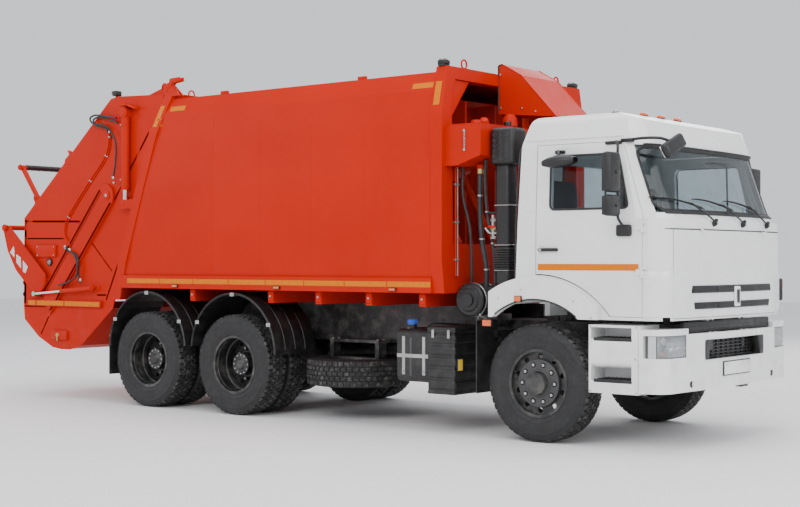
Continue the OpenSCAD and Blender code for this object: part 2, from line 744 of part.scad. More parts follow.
module body_frame() color(ORANGE) place() {
    // Slanted rear frame
    difference() {
        intersection() {
            ring_slab();
            cross_prism(mirrored([[0, 1165], [side_half - 40, 1165], [side_half + 10, 1600], [side_half + 10, 2980],
                [side_half - 90, body_top + 20], [0, body_top + 20]]), -BIG * 2, 0);
        }
        cross_prism(mirrored([[0, 1330], [1090, 1330], [1100, 3180], [1050, 3290], [0, 3290]]), -BIG * 2, 0);
    }
    // Front frame
    difference() {
        cross_prism(mirrored([[0, 1300], [side_half - 30, 1300], [side_half + 10, 1600], [side_half + 10, 2980],
            [side_half - 85, body_top + 5], [0, body_top + 5]]), body_front, body_front + 130);
        cross_prism(mirrored([[0, 1760], [1080, 1760], [1100, 3180], [1040, 3290], [0, 3290]]), -BIG, 0);
    }
    // Sill along each side sheet
    difference() {
        both_sides() block([ring_x(1300) - 20, -side_half - 4, 1300], [body_front - EPS, -side_half + 62, 1440]);
        cross_prism(body_outline(-EPS, 1300 - EPS), -BIG * 2, 0);
    }
    // Cross bearers under the floor
    for (b = [[-1250, 1180], [-1900, 1180], [-2550, 1180], [-3200, 1180], [-4350, 1180], [-5100, 600]])
        block([b[0] - 40, -b[1], body_z + EPS], [b[0] + 40, b[1], 1300 - EPS]);
    both_sides() {
        block([frame_rear + 20, -rail_y, body_z + EPS], [-1000, -rail_y + 80, 1300 - EPS]);
        // Lugs of the tailgate hinge
        for (y = [1090, 1140])
            difference() {
                side_prism([[ring_x(3390) - ring_depth + 30, 3390], [ring_x(3390) + 120, 3390],
                    [gate_hinge.x + 60, 3530], [gate_hinge.x - 45, 3530], [gate_hinge.x - 45, 3440]], -y - 20, -y);
                bar_y(gate_hinge.x, gate_hinge.y, 25, -BIG, BIG);
            }
        bar_y(gate_hinge.x, gate_hinge.y, 25, -1165, -1085);
        // Ears that hold the lift cylinder's rod
        for (y = [1170, 1240])
            block([lift_foot.x - 50, -y - 14, lift_foot.y - 60], [ring_x(lift_foot.y) - 60, -y, lift_foot.y + 40]);
        block([ring_x(lift_foot.y) - ring_depth - 20, -1254, lift_foot.y - 60],
            [ring_x(lift_foot.y) - 60, -1170, lift_foot.y + 40]);
    }
}

hood_half = 330;
module oil_tank() color(ORANGE) place() {
    side_prism([[body_front + 130 + EPS, 2475], [-830, 2475], [-575, 2560], [-575, 2850],
        [body_front + 130 + EPS, 2850]], -1200, 300);
    // Hood over the head of the ejector's cylinder
    difference() {
        side_prism([[body_front + 130 + EPS, 3017], [-910, 3017], [-317, 2961], [-710, 3376], [-930, 3500],
            [body_front + 130 + EPS, 3500]], -hood_half, hood_half);
        side_prism([[-BIG, 3022], [-909, 3022], [-331, 2967], [-713, 3371], [-932, 3494], [-BIG, 3494]],
            -hood_half + 5, hood_half - 5);
    }
}

ejector_top = 3270;
module ejector_plate() color(ORANGE) place() {
    // Pushing plate with its ribs
    block([-1500, -1080, 1330], [-1480, 1080, 3200]);
    for (y = [-1000, -500, 0, 500, 980])
        block([-1481, y, 1330], [-1250, y + 20, 3150]);
    block([-1480, -1080, 1330], [-1250, 1080, 1350]);
    // Guide shoes
    both_sides() block([-1500, -1150, 1300 + sheet_t + EPS], [-1200, -1075, 1420]);
}

// ---------- tailgate ----------

gate_half = gate_w / 2;
gate_front = 10;
function gate_x(z) = ring_x(z) - ring_depth - gate_front;

// Outline of a side plate above the hopper's sill
function gate_outline() = [
    [gate_x(3420), 3420], [-5600, 3450], [-5720, 3430], [-7300, 2112], [-7310, 1070],
    [-7290, 900], [-7020, 700], [-6760, 585], [-6600, 566], [-6440, 568], [-6250, 615],
    [gate_x(1060), 1060]];

guide_top = [-5785, 2329];
guide_dir = [-0.656, -0.755];
guide_norm = [-0.755, 0.656];

// Prism along the guide: t runs down the guide and n across it
module guide_prism(t0, t1, n0, n1, y0, y1) side_prism([
    guide_top + guide_dir * t0 + guide_norm * n0, guide_top + guide_dir * t1 + guide_norm * n0,
    guide_top + guide_dir * t1 + guide_norm * n1, guide_top + guide_dir * t0 + guide_norm * n1], y0, y1);

guide_len = 1650;
guide_proud = 30;
module gate_side() difference() {
    union() {
        side_prism(gate_outline(), -gate_half, -gate_half + gate_t);
        intersection() {
            union() {
                guide_prism(0, guide_len, -guide_w / 2, guide_w / 2, -gate_half - guide_proud, -gate_half + 1);
                bar_y(guide_top.x, guide_top.y, guide_w / 2, -gate_half - guide_proud, -gate_half + 1);
            }
            side_prism(gate_outline(), -BIG, 0);
        }
    }
    guide_prism(-40, guide_len - 60, -guide_w / 2 + 12, guide_w / 2 - 12, -gate_half - guide_proud + 8, 0);
}

module tailgate() color(ORANGE) place() {
    both_sides() {
        gate_side();
        // Hinge lug
        difference() {
            side_prism([[gate_x(3300), 3300], [gate_x(3432), 3432], [gate_hinge.x + 28, 3432],
                [gate_hinge.x + 28, 3500], [gate_hinge.x - 30, 3510], [-5100, 3435], [-5100, 3300]], -1134, -1116);
            bar_y(gate_hinge.x, gate_hinge.y, 25 + EPS, -BIG, BIG);
        }
        block([-5100, -1151, 3300], [-5000, -1116, 3400]);
        // Lift cylinder's upper bracket
        block([lift_top.x - 60, -gate_half - 4, lift_top.y - 10], [lift_top.x + 60, -gate_half + 1, lift_top.y + 120]);
        bar_y(lift_top.x, lift_top.y, 20, -1250, -gate_half + 1);
        // Pins of the tilting arm and of its cylinder
        bar_y(tilt_pivot.x, tilt_pivot.y, 20, -tilt_y - 22, -gate_half + 1);
        bar_y(tilt_foot.x, tilt_foot.y, 12, -tilt_y - 52, -gate_half + 1);
        // Bracket and pin of the lid opener
        side_prism([[-7262, 2130], [-7100, 2265], [-7240, 2385], [-7300, 2385], [-7300, 2330]], -1016, -1006);
        bar_y(lid_hinge.x, lid_hinge.y, 12, -1016, -962);
    }
    // Roof and sloping back
    side_prism([[gate_x(3420), 3420], [-5600, 3450], [-5720, 3430], [-7300, 2112], [-7300, 2090],
        [-5724, 3405], [-5600, 3436], [gate_x(3405), 3406]], -gate_half + gate_t - 1, gate_half - gate_t + 1);
    block([-7300, -gate_half + 1, 1990], [-7240, gate_half - 1, 2095]);
    // Beam that holds the packer cylinders
    guide_prism(-760, -700, 130, 260, -gate_half + gate_t - 1, gate_half - gate_t + 1);
}

module hopper() color(ORANGE) place() {
    side_prism([
        [-7300, 1070], [-7280, 900], [-7015, 705], [-6758, 592], [-6600, 573], [-6442, 575], [-6255, 621],
        [gate_x(1060) - 6, 1060], [gate_x(1060) - 30, 1060], [-6262, 640], [-6444, 590], [-6600, 588],
        [-6752, 607], [-7005, 720], [-7262, 907], [-7280, 1070]],
        -gate_half + gate_t + EPS, gate_half - gate_t - EPS);
}

module tail_lamps() color("#b51f1a") place() both_sides()
    side_prism([[-7335, 900], [-7335, 1010], [-7293.3, 1010], [-7280.4, 900]], -1120, -820);

module lift_barrels() color(ORANGE) place() both_sides() difference() {
    union() {
        strut(lift_top, lift_top - [0, 860], -lift_y, lift_r);
        bar_y(lift_top.x, lift_top.y, 40, -lift_y - 26, -lift_y + 26);
    }
    bar_y(lift_top.x, lift_top.y, 20 + EPS, -BIG, BIG);
    translate([lift_top.x, -lift_y, lift_top.y - 861]) cylinder(r = lift_rod_r + EPS, h = 811);
}

module lift_rods() color(STEEL) place() both_sides() difference() {
    union() {
        translate([lift_foot.x, -lift_y, lift_foot.y]) cylinder(r = lift_rod_r, h = 955);
        bar_y(lift_foot.x, lift_foot.y, 36, -lift_y - 20, -lift_y + 20);
    }
    bar_y(lift_foot.x, lift_foot.y, 18, -BIG, BIG);
}

carriage_t = [60, 740];
blade_hinge = guide_top + guide_dir * 800;
module carriage() color(ORANGE) place() {
    guide_prism(carriage_t[0], carriage_t[1], -20, 40, -1120, 1120);
    both_sides() {
        // Guide shoes
        guide_prism(120, 320, -guide_w / 2 + 18, guide_w / 2 - 18, -gate_half - guide_proud + 14, -1119);
        guide_prism(560, 730, -guide_w / 2 + 18, guide_w / 2 - 18, -gate_half - guide_proud + 14, -1119);
    }
    // Ears and pin of the blade's hinge
    for (y = [-1060, -520, 480, 1020])
        guide_prism(700, 850, -30, 50, y, y + 40);
    bar_y(blade_hinge.x, blade_hinge.y, 20, -1060, 1060);
    // Cross tube that the cylinders push
    guide_prism(600, 700, 39, 245, -760, 760);
}

blade_len = 440;
module packer_blade() color(ORANGE) place() translate([blade_hinge.x, 0, blade_hinge.y]) difference() {
    union() {
        bar_y(0, 0, 40, -1019.5, -520.5);
        bar_y(0, 0, 40, 520.5, 1019.5);
        bar_y(0, 0, 40, -479.5, 479.5);
        rotate([0, -20, 0]) {
            block([-blade_len, -1110, -70], [-85, 1110, -20]);
            for (y = [-1000, -600, -300, 280, 580, 980])
                block([-200, y, -69], [-20, y + 20, 20]);
        }
    }
    bar_y(0, 0, 20 + EPS, -BIG, BIG);
}

packer_n = 195;
packer_y = 655;
// A point on a packer cylinder's axis
function packer_at(t) = guide_top + guide_dir * t + guide_norm * packer_n;
module packer_barrels() color(GREY) place() both_sides() difference() {
    strut(packer_at(-700 + EPS), packer_at(40), -packer_y, 48);
    strut(packer_at(-695), packer_at(41), -packer_y, 26 + EPS);
}

module packer_rods() color(STEEL) place() both_sides()
    strut(packer_at(-680), packer_at(600 - EPS), -packer_y, 26);

tilt_pivot = [-6890, 1353];
tilt_eye = tilt_pivot + [-127, -143];
tilt_foot = [-5960, 1290];
tilt_y = 1196;
module tilter() color(ORANGE) place() {
    both_sides() difference() {
        union() {
            side_prism([tilt_pivot + [60, -30], tilt_pivot + [50, 90], tilt_tip + [80, 10], tilt_tip + [-10, 40],
                tilt_tip + [-50, -20], [-7560, 1720], [-7400, 1490], [-7120, 1260], tilt_eye + [-40, -30],
                tilt_eye + [20, -40]], -tilt_y - 14, -tilt_y);
            bar_y(tilt_pivot.x, tilt_pivot.y, 50, -tilt_y - 20, -gate_half - EPS);
        }
        bar_y(tilt_pivot.x, tilt_pivot.y, 20 + EPS, -BIG, BIG);
    }
    bar_y(tilt_tip.x, tilt_tip.y, 30, -tilt_y - 1, tilt_y + 1);
}

tilt_cyl_y = -tilt_y - 34;
module tilter_barrels() color(GREY) place() both_sides() difference() {
    union() {
        strut(tilt_foot, tilt_foot + unit(tilt_eye - tilt_foot) * 560, tilt_cyl_y, 26);
        bar_y(tilt_foot.x, tilt_foot.y, 30, tilt_cyl_y - 16, tilt_cyl_y + 16);
    }
    bar_y(tilt_foot.x, tilt_foot.y, 12 + EPS, -BIG, BIG);
    strut(tilt_foot + unit(tilt_eye - tilt_foot) * 60, tilt_foot + unit(tilt_eye - tilt_foot) * 561, tilt_cyl_y, 14 + EPS);
}

module tilter_rods() color(STEEL) place() both_sides() {
    strut(tilt_foot + unit(tilt_eye - tilt_foot) * 300, tilt_eye, tilt_cyl_y, 14);
    bar_y(tilt_eye.x, tilt_eye.y, 28, tilt_cyl_y - 16, tilt_cyl_y + 16);
    bar_y(tilt_eye.x, tilt_eye.y, 12, tilt_cyl_y, -tilt_y - 14 - EPS);
}

lid_hinge = [-7270, 2360];
lid_tip = [-7570, 2740];
module lid_bar() color(ORANGE) place() {
    both_sides() difference() {
        union() {
            side_prism([lid_hinge + [20, 10], lid_tip + [20, 10], lid_tip + [-20, -10],
                lid_hinge + [-20, -10]], -1005.7, -966);
            bar_y(lid_hinge.x, lid_hinge.y, 26, -1005.7, -966);
        }
        bar_y(lid_hinge.x, lid_hinge.y, 12 + EPS, -BIG, BIG);
    }
    bar_y(lid_tip.x, lid_tip.y, 28, -1040, 1040);
}

chassis_frame();
engine_block();
driveline();
axles();
springs();
fuel_tank();
silencer();
battery_box();
urea_tank();
air_intake();
spare_wheel();
mudguards();
bumper();
headlights();
entry_steps();
body_shell();
body_frame();
oil_tank();
ejector_plate();
tailgate();
hopper();
tail_lamps();
lift_barrels();
lift_rods();
carriage();
packer_blade();
packer_barrels();
packer_rods();
tilter();
tilter_barrels();
tilter_rods();
lid_bar();
cab_shell();
cab_glass();
front_panel();
door(-1);  // door_right
door(1);  // door_left
mirror_arm(-1);  // mirror_right
mirror_arm(1);  // mirror_left
seats();
dashboard();
steering_wheel();
knuckle(-1);  // knuckle_right
knuckle(1);  // knuckle_left
tie_rod();
color(BLACK) place() tyre_at(0, -front_track / 2);  // front_right_tyre
color(BLACK) place() tyre_at(0, front_track / 2);  // front_left_tyre
color(GREY) front_wheel(-1);  // front_right_wheel
color(GREY) front_wheel(1);  // front_left_wheel
twin_tyres(middle_x, -1);  // middle_right_tyres
twin_tyres(middle_x, 1);  // middle_left_tyres
color(GREY) twin_wheel(middle_x, -1);  // middle_right_wheel
color(GREY) twin_wheel(middle_x, 1);  // middle_left_wheel
twin_tyres(rear_x, -1);  // rear_right_tyres
twin_tyres(rear_x, 1);  // rear_left_tyres
color(GREY) twin_wheel(rear_x, -1);  // rear_right_wheel
color(GREY) twin_wheel(rear_x, 1);  // rear_left_wheel
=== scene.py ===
# Looks of the refuse truck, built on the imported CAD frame. Metres; +X forward, +Y left, +Z up.
import math

import bpy
import bmesh
from mathutils import Vector, Matrix
from mathutils.bvhtree import BVHTree


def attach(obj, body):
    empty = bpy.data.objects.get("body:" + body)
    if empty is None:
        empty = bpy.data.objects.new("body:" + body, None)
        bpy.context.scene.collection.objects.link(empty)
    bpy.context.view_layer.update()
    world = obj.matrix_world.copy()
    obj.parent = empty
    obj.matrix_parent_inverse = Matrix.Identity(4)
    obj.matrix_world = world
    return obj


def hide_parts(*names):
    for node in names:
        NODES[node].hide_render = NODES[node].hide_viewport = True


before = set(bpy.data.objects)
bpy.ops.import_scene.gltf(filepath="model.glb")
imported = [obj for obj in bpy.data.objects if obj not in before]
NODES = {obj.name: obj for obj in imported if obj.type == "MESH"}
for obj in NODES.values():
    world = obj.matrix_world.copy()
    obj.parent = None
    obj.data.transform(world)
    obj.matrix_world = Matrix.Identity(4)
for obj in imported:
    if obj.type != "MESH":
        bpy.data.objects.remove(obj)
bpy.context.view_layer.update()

# The drawing measures x from the front axle; this moves it to the row's origin.
SH = 3.1525
TAU = math.tau
PI = math.pi


def X(x):
    return x + SH


# ---------------------------------------------------------------- materials
class Nodes:
    """A small helper round one material's node tree."""

    def __init__(self, name):
        self.mat = bpy.data.materials.new(name)
        self.mat.use_nodes = True
        self.tree = self.mat.node_tree
        self.tree.nodes.clear()
        self.out = self.add("ShaderNodeOutputMaterial")
        self.bsdf = self.add("ShaderNodeBsdfPrincipled")
        self.link(self.bsdf.outputs[0], self.out.inputs[0])
        self.coord = self.add("ShaderNodeTexCoord").outputs["Object"]

    def add(self, kind, **props):
        node = self.tree.nodes.new(kind)
        for key, value in props.items():
            setattr(node, key, value)
        return node

    def link(self, a, b):
        self.tree.links.new(a, b)

    def noise(self, scale, detail=4.0, rough=0.55, stretch=(1, 1, 1)):
        mapping = self.add("ShaderNodeMapping")
        mapping.inputs["Scale"].default_value = stretch
        self.link(self.coord, mapping.inputs[0])
        n = self.add("ShaderNodeTexNoise")
        n.inputs["Scale"].default_value = scale
        n.inputs["Detail"].default_value = detail
        n.inputs["Roughness"].default_value = rough
        self.link(mapping.outputs[0], n.inputs["Vector"])
        return n.outputs["Fac"]

    def ramp(self, fac, low, high, a=0.0, b=1.0):
        n = self.add("ShaderNodeMapRange")
        n.inputs["From Min"].default_value = low
        n.inputs["From Max"].default_value = high
        n.inputs["To Min"].default_value = a
        n.inputs["To Max"].default_value = b
        self.link(fac, n.inputs["Value"])
        return n.outputs[0]

    def math(self, op, a, b):
        n = self.add("ShaderNodeMath", operation=op)
        for i, v in enumerate((a, b)):
            if isinstance(v, (int, float)):
                n.inputs[i].default_value = v
            else:
                self.link(v, n.inputs[i])
        return n.outputs[0]

    def mix(self, fac, a, b):
        n = self.add("ShaderNodeMix", data_type="RGBA")
        for sock, v in ((n.inputs[0], fac), (n.inputs[6], a), (n.inputs[7], b)):
            if isinstance(v, (int, float)):
                sock.default_value = v
            elif isinstance(v, tuple):
                sock.default_value = (*v[:3], 1)
            else:
                self.link(v, sock)
        return n.outputs[2]

    def height(self):
        s = self.add("ShaderNodeSeparateXYZ")
        self.link(self.coord, s.inputs[0])
        return s.outputs[2]

    def axis(self, i):
        s = self.add("ShaderNodeSeparateXYZ")
        self.link(self.coord, s.inputs[0])
        return s.outputs[i]

    def bump(self, height, strength, distance):
        n = self.add("ShaderNodeBump")
        n.inputs["Strength"].default_value = strength
        n.inputs["Distance"].default_value = distance
        self.link(height, n.inputs["Height"])
        self.link(n.outputs[0], self.bsdf.inputs["Normal"])

    def set(self, **values):
        for key, v in values.items():
            sock = self.bsdf.inputs[key.replace("_", " ")]
            if isinstance(v, tuple):
                sock.default_value = (*v[:3], 1) if len(v) < 4 else v
            elif isinstance(v, (int, float)):
                sock.default_value = v
            else:
                self.link(v, sock)


def painted(name, color, rough=0.32, coat=0.35, dirt=0.5, wave=0.25):
    """Sprayed paint: faint orange peel, uneven sheet, road dust that thickens towards the ground."""
    n = Nodes(name)
    tone = n.ramp(n.noise(0.9, 3), 0.3, 0.7)
    base = n.mix(tone, tuple(c * 0.93 for c in color), tuple(min(1, c * 1.04) for c in color))
    low = n.ramp(n.height(), 0.45, 1.6, 1.0, 0.12)
    speck = n.ramp(n.noise(7, 8, 0.65), 0.46, 0.74)
    dust = n.math("MULTIPLY", n.math("MULTIPLY", low, speck), dirt)
    n.set(Base_Color=n.mix(dust, base, (0.34, 0.32, 0.29)))
    n.set(Roughness=n.math("ADD", n.math("MULTIPLY", dust, 0.4), n.ramp(n.noise(4, 5), 0.3, 0.7, rough - 0.05, rough + 0.06)))
    n.set(Coat_Weight=coat, Coat_Roughness=0.12)
    peel = n.math("ADD", n.math("MULTIPLY", n.noise(260, 2), 0.04), n.math("MULTIPLY", n.noise(2.2, 2), wave))
    n.bump(peel, 0.25, 0.006)
    return n.mat


def plastic(name, color, rough=0.5, grain=420, dirt=0.5):
    """Moulded plastic with a fine grain and dust in it."""
    n = Nodes(name)
    tone = n.ramp(n.noise(3, 5), 0.3, 0.7)
    base = n.mix(tone, tuple(c * 0.8 for c in color), tuple(c * 1.25 for c in color))
    low = n.ramp(n.height(), 0.3, 1.5, 1.0, 0.1)
    dust = n.math("MULTIPLY", n.math("MULTIPLY", low, n.ramp(n.noise(9, 8, 0.65), 0.45, 0.75)), dirt)
    n.set(Base_Color=n.mix(dust, base, (0.22, 0.21, 0.19)))
    n.set(Roughness=n.ramp(n.noise(12, 4), 0.3, 0.7, rough - 0.07, rough + 0.1))
    n.bump(n.noise(grain, 3), 0.18, 0.002)
    return n.mat


def metal(name, color, rough=0.35, stretch=(1, 1, 1), dirt=0.3, scale=60, metallic=1.0):
    """Bare or plated metal with fine lines and smudges."""
    n = Nodes(name)
    tone = n.ramp(n.noise(5, 6), 0.3, 0.7)
    base = n.mix(tone, tuple(c * 0.82 for c in color), color)
    dust = n.math("MULTIPLY", n.ramp(n.noise(11, 8, 0.6), 0.5, 0.75), dirt)
    n.set(Base_Color=n.mix(dust, base, (0.13, 0.11, 0.09)))
    n.set(Metallic=metallic)
    n.set(Roughness=n.ramp(n.noise(scale, 5, 0.6, stretch), 0.3, 0.7, rough - 0.08, rough + 0.12))
    n.bump(n.noise(scale * 3, 3, 0.5, stretch), 0.12, 0.0015)
    return n.mat


def rubber(name, color=(0.018, 0.018, 0.019), rough=0.72, dust=0.55):
    """Tyre rubber, greyed by road dust and salt."""
    n = Nodes(name)
    tone = n.ramp(n.noise(6, 6), 0.3, 0.7)
    base = n.mix(tone, tuple(c * 0.75 for c in color), tuple(c * 1.5 for c in color))
    salt = n.math("MULTIPLY", n.ramp(n.noise(14, 10, 0.7), 0.5, 0.72), dust)
    n.set(Base_Color=n.mix(salt, base, (0.17, 0.165, 0.155)))
    n.set(Roughness=n.ramp(n.noise(30, 4), 0.3, 0.7, rough - 0.08, rough + 0.1))
    n.bump(n.noise(300, 4), 0.3, 0.0015)
    return n.mat


def reflective(name, color):
    """Retro-reflective tape: small honeycomb cells under a clear face."""
    n = Nodes(name)
    v = n.add("ShaderNodeTexVoronoi")
    v.inputs["Scale"].default_value = 160
    n.link(n.coord, v.inputs["Vector"])
    cell = n.ramp(v.outputs["Distance"], 0.1, 0.6)
    n.set(Base_Color=n.mix(cell, color, tuple(c * 0.7 for c in color)))
    n.set(Roughness=n.ramp(n.noise(20, 4), 0.3, 0.7, 0.2, 0.34))
    n.set(Coat_Weight=0.1, Coat_Roughness=0.06)
    n.bump(cell, 0.1, 0.001)
    return n.mat


def lens(name, color, rough=0.08, alpha_like=0.0):
    """Coloured lamp glass with moulded ribs."""
    n = Nodes(name)
    w = n.add("ShaderNodeTexWave", bands_direction="DIAGONAL")
    w.inputs["Scale"].default_value = 60
    w.inputs["Distortion"].default_value = 0.4
    n.link(n.coord, w.inputs["Vector"])
    n.set(Base_Color=n.mix(n.ramp(w.outputs["Fac"], 0, 1), color, tuple(c * 0.72 for c in color)))
    n.set(Roughness=n.ramp(n.noise(40, 3), 0.3, 0.7, rough, rough + 0.06))
    n.set(Coat_Weight=1.0, Coat_Roughness=0.03)
    n.bump(w.outputs["Fac"], 0.3, 0.002)
    if alpha_like:
        n.set(Transmission_Weight=alpha_like, IOR=1.49)
    return n.mat


def window(name, tint=(0.55, 0.62, 0.64)):
    """Pale tinted vehicle glass with faint smears."""
    n = Nodes(name)
    smear = n.ramp(n.noise(3.5, 7, 0.6), 0.45, 0.8)
    n.set(Base_Color=n.mix(smear, tint, tuple(min(1, c * 1.12) for c in tint)))
    n.set(Roughness=n.ramp(smear, 0, 1, 0.02, 0.08))
    n.set(Transmission_Weight=1.0, IOR=1.12, Coat_Weight=0.25, Coat_Roughness=0.02)
    return n.mat


ORANGE = painted("body_orange", (0.5, 0.012, 0.0001), rough=0.4, coat=0.02, dirt=0.06)
ORANGE_IN = painted("inner_orange", (0.55, 0.018, 0.0015), rough=0.45, coat=0.08, dirt=0.4)
WHITE = painted("cab_white", (0.83, 0.835, 0.83), rough=0.26, coat=0.5, dirt=0.35, wave=0.08)
FRAME = painted("frame_black", (0.016, 0.016, 0.017), rough=0.45, coat=0.1, dirt=0.6)
AXLE = painted("axle_grey", (0.045, 0.046, 0.048), rough=0.5, coat=0.05, dirt=0.7)
CAST = metal("cast_iron", (0.11, 0.105, 0.1), rough=0.62, dirt=0.6, scale=90, metallic=0.6)
SPRING = metal("spring_steel", (0.06, 0.058, 0.055), rough=0.6, dirt=0.7, scale=70, metallic=0.5)
ALU = metal("tank_aluminium", (0.66, 0.67, 0.68), rough=0.34, stretch=(1, 1, 14), dirt=0.35)
STEEL = metal("zinc_steel", (0.5, 0.5, 0.49), rough=0.38, dirt=0.35)
BRASS = metal("brass_fitting", (0.62, 0.44, 0.18), rough=0.35, dirt=0.3)
MUFFLER = metal("silencer_steel", (0.4, 0.38, 0.36), rough=0.5, dirt=0.5)
CHROME = metal("rod_chrome", (0.82, 0.82, 0.83), rough=0.12, stretch=(1, 1, 10), dirt=0.12)
RIM = painted("wheel_dark_grey", (0.011, 0.0115, 0.012), rough=0.42, coat=0.1, dirt=0.3)
BLACK = plastic("black_plastic", (0.0075, 0.0075, 0.008), rough=0.42, dirt=0.2)
TRIM = plastic("cab_trim", (0.05, 0.05, 0.055), rough=0.55, dirt=0.05)
GASKET = rubber("gasket_rubber", (0.012, 0.012, 0.012), 0.6, 0.15)
HOSE = rubber("hose_rubber", (0.014, 0.014, 0.015), 0.5, 0.2)
TYRE = rubber("tyre_rubber", (0.02, 0.02, 0.021), 0.72, 0.75)
AMBER_TAPE = reflective("amber_tape", (0.82, 0.21, 0.0002))
RED_TAPE = reflective("red_tape", (0.7, 0.02, 0.015))
WHITE_TAPE = reflective("white_tape", (0.85, 0.85, 0.85))
YELLOW = painted("yellow_label", (0.9, 0.6, 0.03), rough=0.4, coat=0.1, dirt=0.2)
BLUE = plastic("blue_cap", (0.02, 0.09, 0.5), rough=0.4, dirt=0.2)
AMBER = lens("amber_lens", (0.9, 0.12, 0.001))
RED = lens("red_lens", (0.55, 0.01, 0.01))
CLEAR = lens("clear_lens", (0.8, 0.83, 0.85), alpha_like=0.85)
REFLECTOR = metal("lamp_reflector", (0.85, 0.86, 0.87), rough=0.12, dirt=0.02, scale=20)
GLASS = window("cab_glass")
SEAT = plastic("seat_cloth", (0.05, 0.052, 0.06), rough=0.85, grain=900, dirt=0.02)

for soft in (ORANGE, ORANGE_IN, AMBER_TAPE, RED_TAPE):
    soft.node_tree.nodes["Principled BSDF"].inputs["Specular IOR Level"].default_value = 0.1

NODE_MATERIAL = {
    "chassis_frame": FRAME, "engine_block": CAST, "driveline": AXLE, "axles": AXLE, "springs": SPRING,
    "fuel_tank": ALU, "silencer": MUFFLER, "battery_box": BLACK, "urea_tank": BLACK, "air_intake": BLACK,
    "spare_wheel": TYRE, "mudguards": BLACK, "bumper": WHITE, "headlights": CLEAR, "entry_steps": WHITE,
    "body_shell": ORANGE, "body_frame": ORANGE, "oil_tank": ORANGE, "ejector_plate": ORANGE_IN,
    "tailgate": ORANGE, "hopper": ORANGE, "tail_lamps": RED, "lift_barrels": ORANGE, "lift_rods": CHROME,
    "carriage": ORANGE_IN, "packer_blade": ORANGE_IN, "packer_barrels": AXLE, "packer_rods": CHROME,
    "tilter": ORANGE, "tilter_barrels": ORANGE, "tilter_rods": CHROME, "lid_bar": ORANGE,
    "cab_shell": WHITE, "cab_glass": GLASS, "front_panel": WHITE, "door_right": WHITE, "door_left": WHITE,
    "mirror_right": BLACK, "mirror_left": BLACK, "seats": SEAT, "dashboard": TRIM, "steering_wheel": BLACK,
    "knuckle_right": AXLE, "knuckle_left": AXLE, "tie_rod": AXLE,
}
for node_name, node_object in NODES.items():
    material = NODE_MATERIAL.get(node_name)
    if material is None:
        material = TYRE if "tyre" in node_name else RIM
    if node_object.material_slots:
        node_object.material_slots[0].material = material
    else:
        node_object.data.materials.append(material)


